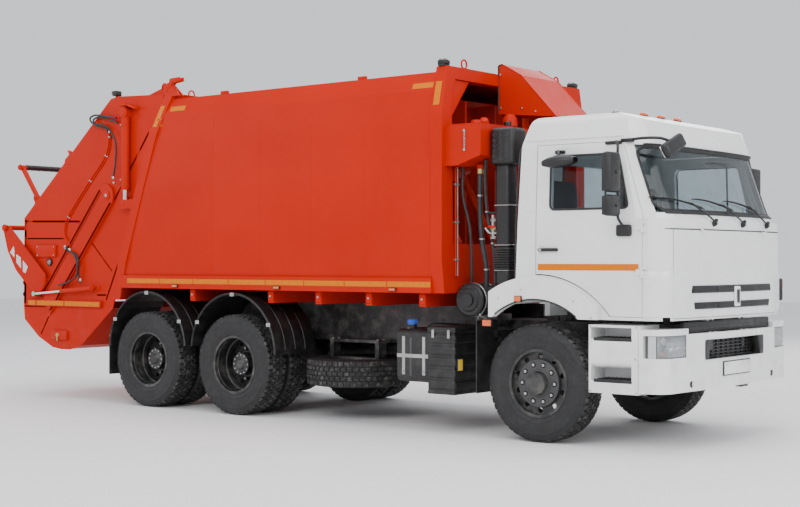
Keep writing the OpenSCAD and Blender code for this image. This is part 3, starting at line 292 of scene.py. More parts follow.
# ---------------------------------------------------------------- mesh tools
class Piece:
    """Collects geometry with several materials, then becomes one object that rides on a body."""

    def __init__(self, name, body="root", slot=None, angle=35):
        self.name = name
        self.body = body
        self.slot = slot
        self.angle = angle
        self.bm = bmesh.new()
        self.mats = []

    def index(self, mat):
        if mat not in self.mats:
            self.mats.append(mat)
        return self.mats.index(mat)

    def take(self, bm, mat, matrix=None):
        """Adds another bmesh's faces with one material."""
        i = self.index(mat)
        verts = {}
        for v in bm.verts:
            co = matrix @ v.co if matrix is not None else v.co
            verts[v.index] = self.bm.verts.new(co)
        for f in bm.faces:
            try:
                g = self.bm.faces.new([verts[v.index] for v in f.verts])
            except ValueError:
                continue
            g.material_index = i
            g.smooth = True
        bm.free()

    def box(self, lo, hi, mat, bevel=0.004, segments=2, matrix=None):
        bm = bmesh.new()
        bmesh.ops.create_cube(bm, size=1)
        for v in bm.verts:
            v.co = Vector([lo[k] + (hi[k] - lo[k]) * (v.co[k] + 0.5) for k in range(3)])
        if bevel:
            top = min(hi[k] - lo[k] for k in range(3)) * 0.45
            bmesh.ops.bevel(bm, geom=list(bm.edges), offset=min(bevel, top), segments=segments, affect="EDGES", profile=0.5)
        bm.verts.index_update()
        self.take(bm, mat, matrix)

    def prism(self, outline, axis, d0, d1, mat, bevel=0.0, matrix=None):
        """An outline in the two other axes (in X, Y, Z order) pushed along axis."""
        bm = bmesh.new()
        others = [k for k in range(3) if k != axis]

        def point(p, d):
            v = [0, 0, 0]
            v[others[0]], v[others[1]], v[axis] = p[0], p[1], d
            return v

        a = [bm.verts.new(point(p, d0)) for p in outline]
        b = [bm.verts.new(point(p, d1)) for p in outline]
        n = len(outline)
        bm.faces.new(a)
        bm.faces.new(list(reversed(b)))
        for i in range(n):
            bm.faces.new([a[i], b[i], b[(i + 1) % n], a[(i + 1) % n]])
        bmesh.ops.recalc_face_normals(bm, faces=list(bm.faces))
        if bevel:
            bmesh.ops.bevel(bm, geom=list(bm.edges), offset=bevel, segments=2, affect="EDGES", profile=0.5)
        bm.verts.index_update()
        self.take(bm, mat, matrix)

    def lathe(self, profile, origin, axis, mat, n=48, start=0.0, sweep=TAU):
        """Turns (radius, distance along the axis) points round an axis through origin."""
        axis = Vector(axis).normalized()
        side = axis.orthogonal().normalized()
        other = axis.cross(side)
        bm = bmesh.new()
        full = abs(sweep - TAU) < 1e-6
        count = n if full else n + 1
        rings = []
        for r, d in profile:
            if r < 1e-6:
                rings.append([bm.verts.new(Vector(origin) + axis * d)])
                continue
            ring = []
            for k in range(count):
                a = start + sweep * k / n
                ring.append(bm.verts.new(Vector(origin) + axis * d + (side * math.cos(a) + other * math.sin(a)) * r))
            rings.append(ring)
        for p, q in zip(rings, rings[1:]):
            for k in range(n):
                k2 = (k + 1) % count
                if len(p) == 1 and len(q) == 1:
                    continue
                if len(p) == 1:
                    bm.faces.new([p[0], q[k2], q[k]])
                elif len(q) == 1:
                    bm.faces.new([p[k], p[k2], q[0]])
                else:
                    bm.faces.new([p[k], p[k2], q[k2], q[k]])
        bmesh.ops.recalc_face_normals(bm, faces=list(bm.faces))
        bm.verts.index_update()
        self.take(bm, mat)

    def rod(self, a, b, r, mat, n=20, chamfer=0.0):
        a, b = Vector(a), Vector(b)
        length = (b - a).length
        c = min(chamfer, r * 0.4, length * 0.4)
        profile = [(0, 0), (r - c, 0), (r, c), (r, length - c), (r - c, length), (0, length)] if c else [
            (0, 0), (r, 0), (r, length), (0, length)]
        self.lathe(profile, a, b - a, mat, n)

    def hexagon(self, centre, axis, r, h, mat):
        self.lathe([(0, 0), (r, 0), (r, h * 0.85), (r * 0.86, h), (0, h)], centre, axis, mat, n=6)

    def tube(self, points, r, mat, n=10, smooth=4, caps=True):
        """A round hose through the points, smoothed into one curve."""
        pts = [Vector(p) for p in points]
        path = []
        if smooth > 1 and len(pts) > 2:
            ext = [pts[0] * 2 - pts[1]] + pts + [pts[-1] * 2 - pts[-2]]
            for i in range(1, len(ext) - 2):
                p0, p1, p2, p3 = ext[i - 1:i + 3]
                for s in range(smooth):
                    t = s / smooth
                    path.append(0.5 * ((2 * p1) + (p2 - p0) * t + (2 * p0 - 5 * p1 + 4 * p2 - p3) * t * t
                                       + (3 * p1 - p0 - 3 * p2 + p3) * t ** 3))
            path.append(pts[-1])
        else:
            path = pts
        bm = bmesh.new()
        rings = []
        up = None
        for i, p in enumerate(path):
            d = (path[min(i + 1, len(path) - 1)] - path[max(i - 1, 0)]).normalized()
            if up is None:
                up = d.orthogonal().normalized()
            up = (up - d * up.dot(d)).normalized()
            side = d.cross(up)
            rings.append([bm.verts.new(p + (up * math.cos(TAU * k / n) + side * math.sin(TAU * k / n)) * r) for k in range(n)])
        for p, q in zip(rings, rings[1:]):
            for k in range(n):
                bm.faces.new([p[k], p[(k + 1) % n], q[(k + 1) % n], q[k]])
        if caps:
            bm.faces.new(list(reversed(rings[0])))
            bm.faces.new(rings[-1])
        bm.verts.index_update()
        self.take(bm, mat)

    def sheet(self, grid, mat, thick=0.0):
        """A grid of points as a skin; with a thickness it becomes a closed plate."""
        bm = bmesh.new()
        rows = [[bm.verts.new(p) for p in row] for row in grid]
        for r0, r1 in zip(rows, rows[1:]):
            for k in range(len(r0) - 1):
                bm.faces.new([r0[k], r0[k + 1], r1[k + 1], r1[k]])
        if thick:
            bmesh.ops.recalc_face_normals(bm, faces=list(bm.faces))
            bmesh.ops.solidify(bm, geom=list(bm.faces), thickness=thick)
        bm.verts.index_update()
        self.take(bm, mat)

    def done(self, replaces=()):
        me = bpy.data.meshes.new(self.name)
        self.bm.to_mesh(me)
        self.bm.free()
        for m in self.mats:
            me.materials.append(m)
        me.set_sharp_from_angle(angle=math.radians(self.angle))
        ob = bpy.data.objects.new(self.name, me)
        bpy.context.scene.collection.objects.link(ob)
        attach(ob, self.body)
        if replaces:
            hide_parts(*replaces)
        return ob


def mirror_y(points):
    return [(p[0], -p[1], p[2]) for p in points]


# ---------------------------------------------------------------- camera, light, floor
cam_data = bpy.data.cameras.new("camera")
cam_data.lens = 63.76
cam_data.sensor_width = 36
cam_data.clip_end = 200
cam = bpy.data.objects.new("camera", cam_data)
cam.location = (6.826 + SH, -11.660, 1.604)
cam.rotation_euler = (math.radians(90.28), 0, math.radians(38.53))
bpy.context.scene.collection.objects.link(cam)
bpy.context.scene.camera = cam


def area_light(name, location, target, size, power, color=(1, 1, 1)):
    data = bpy.data.lights.new(name, "AREA")
    data.shape = "RECTANGLE"
    data.size, data.size_y = size
    data.energy = power
    data.color = color
    ob = bpy.data.objects.new(name, data)
    ob.location = location
    ob.rotation_euler = (Vector(target) - Vector(location)).to_track_quat("-Z", "Y").to_euler()
    bpy.context.scene.collection.objects.link(ob)


area_light("key", (5.5, -13, 9.5), (0, 0, 1.4), (11, 7), 1150)
area_light("front", (14, -2, 6.5), (2, 0, 1.5), (8, 6), 650)
area_light("fill", (-12, -10, 6), (-2, 0, 1.5), (9, 6), 230)
area_light("back", (-3, 13, 8), (0, 0, 1.5), (12, 6), 650)
area_light("top", (0, 0, 13), (0, 0, 0), (14, 8), 900)
world = bpy.data.worlds.new("studio")
world.use_nodes = True
world.node_tree.nodes["Background"].inputs[0].default_value = (0.93, 0.95, 1.0, 1)
world.node_tree.nodes["Background"].inputs[1].default_value = 1.0
bpy.context.scene.world = world

floor_mesh = bpy.data.meshes.new("floor")
floor_mesh.from_pydata([(-40, -40, 0), (40, -40, 0), (40, 40, 0), (-40, 40, 0)], [], [(0, 1, 2, 3)])
floor = bpy.data.objects.new("floor", floor_mesh)
fn = Nodes("floor_pale")
fn.set(Base_Color=fn.mix(fn.noise(0.6, 3), (0.80, 0.80, 0.80), (0.86, 0.86, 0.86)), Roughness=0.85)
floor_mesh.materials.append(fn.mat)
bpy.context.scene.collection.objects.link(floor)

# PIECES A
# ---------------------------------------------------------------- placing on the CAD skin
def tree_of(*names):
    """One search tree over the meshes of the named CAD nodes."""
    verts, polys = [], []
    for name in names:
        mesh = NODES[name].data
        base = len(verts)
        verts += [v.co.copy() for v in mesh.vertices]
        polys += [[base + i for i in p.vertices] for p in mesh.polygons]
    return BVHTree.FromPolygons(verts, polys)


def cast(tree, start, toward, lift=0.0):
    """Where a ray from start meets the skin, raised by lift along the way back."""
    d = Vector(toward).normalized()
    hit = tree.ray_cast(Vector(start), d)[0]
    return None if hit is None else hit - d * lift


def span(a, b, n):
    return [a + (b - a) * i / n for i in range(n + 1)]


def tape(piece, tree, outline, toward, mat, n=(8, 1), lift=0.0018, thick=0.0012):
    """A strip stuck on the skin; outline is four corners of a flat quad that is pushed onto it."""
    a, b, c, d = (Vector(p) for p in outline)
    grid = []
    for v in span(0, 1, n[1]):
        row = []
        for u in span(0, 1, n[0]):
            p = cast(tree, (a.lerp(b, u)).lerp(d.lerp(c, u), v), toward, lift)
            if p is not None:
                row.append(p)
        if len(row) == n[0] + 1:
            grid.append(row)
    if len(grid) == n[1] + 1:
        piece.sheet(grid, mat, thick)


def ring_points(points, radius, n=5):
    """Rounds the corners of a closed flat outline given as 3D points."""
    out = []
    count = len(points)
    for i in range(count):
        q = Vector(points[i])
        u = (Vector(points[i - 1]) - q)
        v = (Vector(points[(i + 1) % count]) - q)
        r = min(radius, u.length * 0.45, v.length * 0.45)
        a, b = q + u.normalized() * r, q + v.normalized() * r
        for k in range(n + 1):
            t = k / n
            out.append(a * (1 - t) ** 2 + q * 2 * t * (1 - t) + b * t ** 2)
    return out


def between(points, step=0.06):
    """Adds points along a closed line so that it can follow a curved skin."""
    out = []
    for i, p in enumerate(points):
        q = points[(i + 1) % len(points)]
        m = max(1, int((q - p).length / step))
        out += [p.lerp(q, k / m) for k in range(m)]
    return out


def gasket(piece, path, r, mat, n=8):
    piece.tube(list(path) + [path[0], path[1]], r, mat, n=n, smooth=1, caps=False)


# ---------------------------------------------------------------- tyres and wheels
AXLE_Z = 0.522
TYRE_WALL = rubber("tyre_wall", (0.0095, 0.0095, 0.010), 0.6, 0.07)
TREAD = rubber("tyre_tread", (0.016, 0.0155, 0.015), 0.78, 0.8)
COVER = plastic("wheel_cover", (0.035, 0.0355, 0.036), rough=0.4, dirt=0.15)


def tyre(name, body, centre, planes, replaces, axis=1, pitch=52, drive=False):
    """Rubber carcass with moulded rings, and a tread of separate chamfered blocks."""
    piece = Piece(name, body, "tyre", angle=40)
    half = [(0.292, -0.104), (0.300, -0.117), (0.312, -0.1235), (0.316, -0.1215), (0.345, -0.129), (0.349, -0.1305),
            (0.353, -0.1295), (0.385, -0.1375), (0.42, -0.1393), (0.447, -0.1372), (0.450, -0.1388), (0.455, -0.1384),
            (0.458, -0.1362), (0.487, -0.129), (0.497, -0.1265), (0.5075, -0.117)]
    profile = half + [(0.5085, 0.0)] + [(r, -d) for r, d in reversed(half)] + [(0.2915, 0.0)] + [half[0]]
    rows = [(-0.098, 0.046), (-0.047, 0.038), (0.0, 0.038), (0.047, 0.038), (0.098, 0.046)]
    for y0 in planes:
        origin = Vector(centre)
        origin[axis] = y0
        direction = Vector((0, 1, 0)) if axis == 1 else Vector((0, 0, 1))
        side = Vector((1, 0, 0))
        other = direction.cross(side)
        piece.lathe(profile, origin, direction, TYRE_WALL, n=72)
        verts, faces = [], []
        bm = bmesh.new()
        for j, (yc, w) in enumerate(rows):
            outer = abs(yc) > 0.08
            for k in range(pitch):
                a0 = TAU * (k + 0.5 * (j % 2)) / pitch
                half_a = TAU / pitch * (0.36 if drive else 0.41)
                z = TAU / pitch * 0.14
                sgn = 1 if yc > 0 else -1
                if outer:
                    flat = [(-half_a, -w / 2), (half_a, -w / 2), (half_a + z * 0.5, 0), (half_a, w / 2),
                            (-half_a, w / 2), (-half_a + z * 0.5, 0)]
                else:
                    flat = [(-half_a + z, -w / 2), (half_a + z, -w / 2), (half_a - z, 0), (half_a + z, w / 2),
                            (-half_a + z, w / 2), (-half_a - z, 0)]
                rings = []
                for r_add, inset in ((-0.018, 0.0), (-0.003, 0.0), (0.0, 0.0028)):
                    ring = []
                    for a, y in flat:
                        aa = a * (1 - inset / (half_a * 0.52)) if inset else a
                        yy = y * (1 - inset / (w / 2)) + yc
                        top = 0.522 - 0.0045 * (abs(yy) / 0.12) ** 3
                        if r_add < -0.01:
                            radius = 0.504
                            if outer and yy * sgn > abs(yc):
                                yy += 0.004 * sgn
                        else:
                            radius = top + r_add
                        ang = a0 + aa
                        ring.append(bm.verts.new(origin + direction * yy + (side * math.cos(ang) + other * math.sin(ang)) * radius))
                    rings.append(ring)
                for lo, hi in zip(rings, rings[1:]):
                    for i in range(6):
                        bm.faces.new([lo[i], lo[(i + 1) % 6], hi[(i + 1) % 6], hi[i]])
                bm.faces.new(rings[-1])
        bmesh.ops.recalc_face_normals(bm, faces=list(bm.faces))
        bm.verts.index_update()
        piece.take(bm, TREAD)
    return piece.done(replaces=replaces)


for where, x in (("front", 0.0), ("middle", -3.69), ("rear", -5.01)):
    for side_name, s in (("right", -1), ("left", 1)):
        body = f"{where}_{side_name}_wheel"
        if where == "front":
            tyre(f"tyre_{where}_{side_name}", body, (X(x), 0, AXLE_Z), [s * 1.0215], [f"front_{side_name}_tyre"])
            p = Piece(f"hub_{where}_{side_name}", body, "wheel_paint", angle=30)
            y0 = s * 1.0215
            # Cover round the nuts, with a well for each nut
            bm = bmesh.new()
            loops = []
            rings = []
            for i in range(10):
                a = TAU * i / 10
                c = (0.1675 * math.cos(a), 0.1675 * math.sin(a))
                rings.append([bm.verts.new((c[0] + 0.024 * math.cos(TAU * k / 16 + a), 0, c[1] + 0.024 * math.sin(TAU * k / 16 + a)))
                              for k in range(16)])
            outer = [bm.verts.new((0.208 * math.cos(TAU * k / 80), 0, 0.208 * math.sin(TAU * k / 80))) for k in range(80)]
            inner = [bm.verts.new((0.122 * math.cos(TAU * k / 60), 0, 0.122 * math.sin(TAU * k / 60))) for k in range(60)]
            edges = []
            for ring in rings + [outer, inner]:
                for k in range(len(ring)):
                    edges.append(bm.edges.new((ring[k], ring[(k + 1) % len(ring)])))
            bmesh.ops.triangle_fill(bm, use_beauty=True, use_dissolve=False, edges=edges)
            doomed = [f for f in bm.faces if any((f.calc_center_median() - Vector((0.1675 * math.cos(TAU * i / 10), 0, 0.1675 * math.sin(TAU * i / 10)))).length < 0.0235
                                                 for i in range(10)) or f.calc_center_median().length < 0.118]
            bmesh.ops.delete(bm, geom=doomed, context="FACES_ONLY")
            bm.verts.index_update()
            p.take(bm, COVER, Matrix.Translation((X(x), y0 + s * 0.1105, AXLE_Z)))
            ax = (0, s, 0)
            o = (X(x), y0, AXLE_Z)
            for i in range(10):
                a = TAU * i / 10
                c = (X(x) + 0.1675 * math.cos(a), y0, AXLE_Z + 0.1675 * math.sin(a))
                p.lathe([(0.024, 0.1105), (0.0235, 0.106), (0.0225, 0.078)], c, ax, RIM, n=16)
                p.hexagon((c[0], y0 + s * 0.112, c[2]), ax, 0.0155, 0.004, STEEL)
            p.lathe([(0.208, 0.1105), (0.212, 0.107), (0.214, 0.098), (0.214, 0.078)], o, ax, COVER, n=80)
            p.lathe([(0.122, 0.1105), (0.118, 0.1125), (0.06, 0.1135), (0, 0.1138)], o, ax, COVER, n=60)
            p.lathe([(0.1215, 0.1112), (0.1235, 0.1118), (0.1255, 0.1112)], o, ax, BLACK, n=60)
            p.lathe([(0.300, 0.1205), (0.3035, 0.1215), (0.305, 0.119), (0.303, 0.113)], o, ax, RIM, n=72)
            p.tube([(X(x) - 0.245, y0 + s * 0.05, AXLE_Z + 0.09), (X(x) - 0.25, y0 + s * 0.085, AXLE_Z + 0.092),
                    (X(x) - 0.256, y0 + s * 0.105, AXLE_Z + 0.094)], 0.005, STEEL, n=8)
            p.done()
        else:
            tyre(f"tyres_{where}_{side_name}", body, (X(x), 0, AXLE_Z), [s * 0.785, s * 1.105],
                 [f"{where}_{side_name}_tyres"], drive=True)
            p = Piece(f"hub_{where}_{side_name}", body, "wheel_paint", angle=30)
            y0 = s * 0.945
            o = (X(x), y0, AXLE_Z)
            ax = (0, s, 0)
            for i in range(10):
                a = TAU * i / 10
                c = (X(x) + 0.1675 * math.cos(a), y0 + s * 0.021, AXLE_Z + 0.1675 * math.sin(a))
                p.lathe([(0.021, 0), (0.021, 0.004), (0.0175, 0.009), (0.0175, 0.03)], c, ax, RIM, n=16)
                p.hexagon((c[0], y0 + s * 0.03, c[2]), ax, 0.0175, 0.032, STEEL)
            for i in range(12):
                a = TAU * i / 12
                p.hexagon((X(x) + 0.098 * math.cos(a), y0 + s * 0.172, AXLE_Z + 0.098 * math.sin(a)), ax, 0.009, 0.009, STEEL)
            p.lathe([(0.112, 0.170), (0.113, 0.178), (0.085, 0.1785), (0.06, 0.182), (0.045, 0.196), (0.0, 0.198)], o, ax, RIM, n=48)
            p.lathe([(0.300, 0.2805), (0.3035, 0.2815), (0.305, 0.279), (0.303, 0.273)], o, ax, RIM, n=72)
            p.lathe([(0.272, 0.235), (0.268, 0.243), (0.272, 0.250)], o, ax, RIM, n=72)
            p.lathe([(0.276, 0.125), (0.262, 0.118), (0.259, 0.08), (0.268, 0.07), (0.276, 0.06)], o, ax, RIM, n=72)
            p.done()

tyre("tyre_spare", "root", (X(-2.53), -0.6, 0), [0.4805], ["spare_wheel"], axis=2)
p = Piece("spare_rim", "root", "wheel_paint", angle=30)
o = (X(-2.53), -0.6, 0.4805)
p.lathe([(0.292, -0.104), (0.302, -0.121), (0.296, -0.123), (0.279, -0.108), (0.274, -0.06), (0.262, 0.0), (0.262, 0.05),
         (0.245, 0.064), (0.142, 0.064), (0.142, 0.074), (0.255, 0.074), (0.274, 0.06), (0.279, 0.108), (0.302, 0.121), (0.292, 0.104)],
        o, (0, 0, 1), RIM, n=72)
p.box((X(-2.855), -0.65, 0.555), (X(-2.205), -0.55, 0.62), FRAME, 0.008)
p.rod((X(-2.53), -0.6, 0.44), (X(-2.53), -0.6, 0.60), 0.016, STEEL)
p.lathe([(0, 0.0), (0.16, 0.0), (0.165, 0.006), (0.165, 0.012), (0.03, 0.03), (0, 0.03)], (X(-2.53), -0.6, 0.53), (0, 0, -1), FRAME, n=40)
p.done()

# ---------------------------------------------------------------- cab front
CAB = tree_of("cab_shell", "front_panel", "door_right", "door_left")
PANEL = tree_of("front_panel")


def front(y, z, lift=0.0):
    """A point on the cab's front at this width and height."""
    p = cast(CAB, (X(2.2), y, z), (-1, 0, 0), lift)
    if p is None or p.x < X(0.7):
        lean = 0.0 if z < 1.955 else 0.3541 * (z - 1.955) + 0.021
        p = Vector((X(1.331 - 0.05 * y * y - lean) + lift, y, z))
    return p


def curved(y, z, lift=0.0):
    """The front's own formula, which passes over slots and gaps."""
    return Vector((X(1.331 - 0.05 * y * y) + lift, y, z))


p = Piece("panel_skin", "front_panel", "cab_paint", angle=30)
grid = []
for z in span(1.1215, 1.8605, 36):
    row = []
    for y in span(-1.0385, 1.0385, 48):
        swell = 0.0
        # Shallow pressed field with soft edges
        fy = max(0.0, min(1.0, (0.93 - abs(y)) / 0.035))
        fz = max(0.0, min(1.0, (z - 1.135) / 0.03)) * max(0.0, min(1.0, (1.50 - z) / 0.03))
        swell = 0.007 * fy * fy * (3 - 2 * fy) * fz * fz * (3 - 2 * fz)
        base = cast(PANEL, (X(2.2), y, z), (-1, 0, 0))
        x = curved(y, z) if base is None or abs(y) < 0.98 else base
        row.append(Vector((x.x + 0.003 + swell, y, z)))
    grid.append(row)
p.sheet(grid, WHITE, -0.0025)
for z0, z1, half in ((1.318, 1.398, 0.80), (1.182, 1.256, 0.76)):
    for y0, y1, mat, lift in ((-half, half, BLACK, 0.0), (-half * 0.46, half * 0.46, GASKET, 0.0035)):
        cut = 0.022 if mat is BLACK else 0.006
        grid = []
        for i, z in enumerate(span(z0 + (0.008 if lift else 0), z1 - (0.008 if lift else 0), 8)):
            t = abs(i / 8 - 0.5) * 2
            w = y1 - cut * (i / 8 if z0 > 1.3 else 1 - i / 8)
            grid.append([curved(y, z, 0.0105 + lift + 0.004 * (1 - t ** 4)) for y in span(-w, w, 40)])
        p.sheet(grid, mat, 0.006)
    for k in range(1, 4):
        z = z0 + (z1 - z0) * k / 4
        p.tube([curved(y, z, 0.018) for y in span(-half + 0.03, half - 0.03, 24)], 0.0032, BLACK, n=6, smooth=1)
    # Rolled lip round each slot
    lip = [curved(y, z0 - 0.003, 0.012) for y in span(-half, half, 24)] + [curved(y, z1 + 0.003, 0.012) for y in span(half, -half, 24)]
    gasket(p, between(lip, 0.08), 0.0045, WHITE, n=6)
# Blank badge in its frame
bx = curved(0, 1.29, 0.012).x
p.box((bx, -0.052, 1.200), (bx + 0.02, 0.052, 1.378), WHITE, 0.009, 3)
p.box((bx + 0.014, -0.034, 1.222), (bx + 0.0225, 0.034, 1.356), CHROME, 0.004, 2)
p.box((bx + 0.018, -0.027, 1.230), (bx + 0.024, 0.027, 1.348), BLACK, 0.003, 2)
p.done()

p = Piece("cab_front_trim", "cab", "black_plastic", angle=35)
# Windscreen rubber
corner = [front(-1.112, 2.000), front(1.112, 2.000), front(1.112, 2.587), front(-1.112, 2.587)]
path = []
flat = [(-1.112, 2.0), (1.112, 2.0), (1.112, 2.587), (-1.112, 2.587)]
loop = between(ring_points([Vector((0, y, z)) for y, z in flat], 0.10, 6), 0.05)
SCREEN = tree_of("cab_glass")


def on_screen(y, z, lift):
    q = cast(CAB, (X(2.2), y, z), (-1, 0, 0))
    if q is not None and q.x > X(0.8):
        return q + Vector((lift, 0, lift * 0.35))
    g = cast(SCREEN, (X(2.2), y * 0.97, z), (-1, 0, 0))
    return (g if g is not None else Vector((X(1.1), y, z))) + Vector((lift + 0.022, 0, lift * 0.35))


outer = [on_screen(v.y, v.z, 0.004) for v in loop]
inner = []
for v in loop:
    y, z = v.y, v.z
    yy = max(-1.078, min(1.078, y * 0.972))
    zz = max(2.032, min(2.556, 2.2935 + (z - 2.2935) * 0.9))
    g = cast(SCREEN, (X(2.2), yy, zz), (-1, 0, 0))
    inner.append(Vector(((g.x if g is not None else X(1.1)) + 0.004, yy, zz)))
mid = [(a + b) / 2 + Vector((0.006, 0, 0.002)) for a, b in zip(outer, inner)]
p.sheet([outer + [outer[0]], mid + [mid[0]], inner + [inner[0]]], GASKET, 0.004)
gasket(p, outer, 0.008, GASKET, n=8)
gasket(p, inner, 0.006, GASKET, n=6)
# Seam shadow line over the front panel and its drip edge
p.tube([front(y, 1.868, 0.001) for y in span(-1.12, 1.12, 40)], 0.0045, GASKET, n=6, smooth=1)
# Wipers: pivot, arm and blade
for y0, length in ((-0.40, 0.70), (0.16, 0.70), (0.70, 0.66)):
    base = front(y0, 1.925, 0.012)
    p.lathe([(0, 0.012), (0.022, 0.012), (0.026, 0.004), (0.026, -0.02)], base, (1, 0, 0.3), BLACK, n=20)
    p.lathe([(0, 0.028), (0.011, 0.028), (0.013, 0.02), (0.013, 0.0)], base, (1, 0, 0.3), STEEL, n=16)
    tip_y = y0 - length * 0.80
    knee = base + Vector((0.004, -0.08, 0.045))
    glass_at = lambda y, z, lift: Vector(((cast(SCREEN, (X(2.2), max(-1.07, min(1.07, y)), z), (-1, 0, 0)) or Vector((X(1.14), y, z))).x + lift, y, z))
    tip = glass_at(tip_y * 0.5 + y0 * 0.5, 2.09, 0.045)
    p.tube([base + Vector((0.012, 0, 0)), knee, tip], 0.008, BLACK, n=8, smooth=5)
    p.box(base + Vector((0.002, -0.016, -0.012)), base + Vector((0.026, 0.016, 0.04)), BLACK, 0.007, 2)
    blade = []
    for t in span(0, 1, 14):
        y = y0 - 0.05 - (length + 0.02) * t
        z = 2.045 + 0.085 * math.sin(t * PI * 0.5)
        blade.append(glass_at(y, z, 0.016))
    p.tube(blade, 0.0055, GASKET, n=6, smooth=1)
    p.tube([b + Vector((0.014, 0, 0.004)) for b in blade[1:-1]], 0.0042, BLACK, n=6, smooth=1)
    p.rod(blade[7] + Vector((0.012, 0, 0)), tip, 0.006, BLACK)
# Corner deflectors beside the panel
for s in (-1, 1):
    rows = []
    for i, z in enumerate(span(1.13, 1.515, 10)):
        row = []
        for k, t in enumerate(span(0, 1, 8)):
            ang = math.radians(8 + 82 * t)
            yy = s * (1.00 + 0.196 * math.sin(ang) - 0.0)
            xx = X(1.086 + 0.20 * math.cos(ang) - 0.015)
            bulge = 0.020 * math.sin(PI * min(1, max(0, t))) ** 0.5 * min(1, (1.515 - z) / 0.03, (z - 1.13) / 0.03 + 0.4) if 0 < i < 10 else 0.004
            n = Vector((math.cos(ang), s * math.sin(ang), 0))
            row.append(Vector((xx, yy, z)) + n * (0.004 + bulge))
        rows.append(row if s < 0 else row[::-1])
    p.sheet(rows, WHITE, 0.004)
# Corner marker lamp, drawn on the left corner only
for s in (-1, 1):
    q = front(s * 1.115, 1.36)
    m = Matrix.Translation((q.x + 0.006, s * 1.13, 1.33)) @ Matrix.Rotation(s * 0.85, 4, "Z")
    if s > 0:
        p.box((-0.018, -0.05, -0.105), (0.022, 0.05, 0.105), BLACK, 0.012, 3, m)
        p.box((0.012, -0.04, -0.093), (0.03, 0.04, -0.005), CLEAR, 0.008, 3, m)
        p.box((0.012, -0.04, 0.005), (0.03, 0.04, 0.093), AMBER, 0.008, 3, m)
# Roof lamps and small roof fittings
ROOF = tree_of("cab_shell")
for x, y in ((0.60, -0.32), (0.60, 0.0), (0.60, 0.32)):
    q = cast(ROOF, (X(x), y, 3.4), (0, 0, -1))
    m = Matrix.Translation(q)
    p.box((-0.028, -0.062, -0.012), (0.028, 0.062, 0.012), BLACK, 0.006, 2, m)
    p.box((-0.018, -0.052, 0.008), (0.026, 0.052, 0.038), AMBER, 0.012, 3, m)
for y in (-0.86, 0.86):
    q = cast(ROOF, (X(0.62), y, 3.4), (0, 0, -1))
    m = Matrix.Translation(q)
    p.box((-0.03, -0.03, -0.012), (0.03, 0.03, 0.014), BLACK, 0.008, 2, m)
    p.box((-0.008, -0.024, 0.01), (0.026, 0.024, 0.03), CLEAR, 0.007, 3, m)
# Gutter line round the roof
for s in (-1, 1):
    pts = []
    for x in span(-0.12, 0.86, 16):
        q = cast(ROOF, (X(x), s * 1.6, 2.66), (0, -s, 0))
        if q is not None:
            pts.append(q + Vector((0, s * 0.003, 0)))
    if len(pts) > 3:
        p.tube(pts, 0.008, WHITE, n=8, smooth=1)
p.done()

# ---------------------------------------------------------------- bumper and lamps
BUMPER = tree_of("bumper")
LAMPS = tree_of("headlights")
for s, side_name in ((-1, "right"), (1, "left")):
    p = Piece(f"headlamp_{side_name}", "root", "lamp_glass", angle=35)
    ys = span(0.886, 1.228, 18)
    face = []
    for y in ys:
        q = cast(LAMPS, (X(2.0), s * y, 0.886), (-1, 0, 0))
        face.append(q.x if q is not None else X(1.25))
    rows_lens, rows_back, rows_rim = [], [], []
    for z in span(0.794, 0.978, 8):
        t = abs(z - 0.886) / 0.092
        rows_lens.append([Vector((fx - 0.006 * t ** 4, s * y, z)) for fx, y in zip(face, ys)])
        rows_back.append([Vector((fx - 0.075 + 0.03 * t ** 4, s * y, z)) for fx, y in zip(face, ys)])
    p.sheet(rows_lens, CLEAR, 0.003)
    p.sheet(rows_back, REFLECTOR, 0.003)
    lo, hi = 0.7935, 0.9785
    for z in (lo, hi):
        p.sheet([[Vector((fx + 0.001, s * y, z)) for fx, y in zip(face, ys)], [Vector((fx - 0.078, s * y, z)) for fx, y in zip(face, ys)]], REFLECTOR, 0.003)
    for k in (0, -1):
        p.sheet([[Vector((face[k] + 0.001, s * ys[k], lo)), Vector((face[k] + 0.001, s * ys[k], hi))],
                 [Vector((face[k] - 0.078, s * ys[k], lo)), Vector((face[k] - 0.078, s * ys[k], hi))]], REFLECTOR, 0.003)
    edge = [Vector((fx, s * y, lo)) for fx, y in zip(face, ys)] + [Vector((fx, s * y, hi)) for fx, y in zip(reversed(face), reversed(ys))]
    gasket(p, between(edge, 0.08), 0.0035, BLACK, n=6)
    for y, r, z in ((0.962, 0.058, 0.888), (1.075, 0.066, 0.886)):
        q = cast(LAMPS, (X(2.0), s * y, z), (-1, 0, 0))
        o = (q.x - 0.022, s * y, z)
        p.lathe([(r + 0.006, -0.006), (r + 0.004, 0.0), (r, 0.0), (r * 0.92, -0.012), (r * 0.66, -0.03), (r * 0.34, -0.042), (0.014, -0.046)],
                o, (1, 0, 0), REFLECTOR, n=36)
        p.lathe([(0.014, -0.048), (0.014, -0.018), (0.010, -0.012), (0, -0.010)], o, (1, 0, 0), CLEAR, n=16)
    for z in (0.835, 0.935):
        q = cast(LAMPS, (X(2.0), s * 1.185, z), (-1, 0, 0))
        if q is not None:
            p.lathe([(0.030, 0.0), (0.026, -0.01), (0.012, -0.026), (0, -0.028)], (q.x - 0.012, s * 1.178, z), (1, s * 0.5, 0), AMBER if z < 0.9 else REFLECTOR, n=24)
    p.done(replaces=["headlights"])

p = Piece("bumper_details", "root", "black_plastic", angle=35)
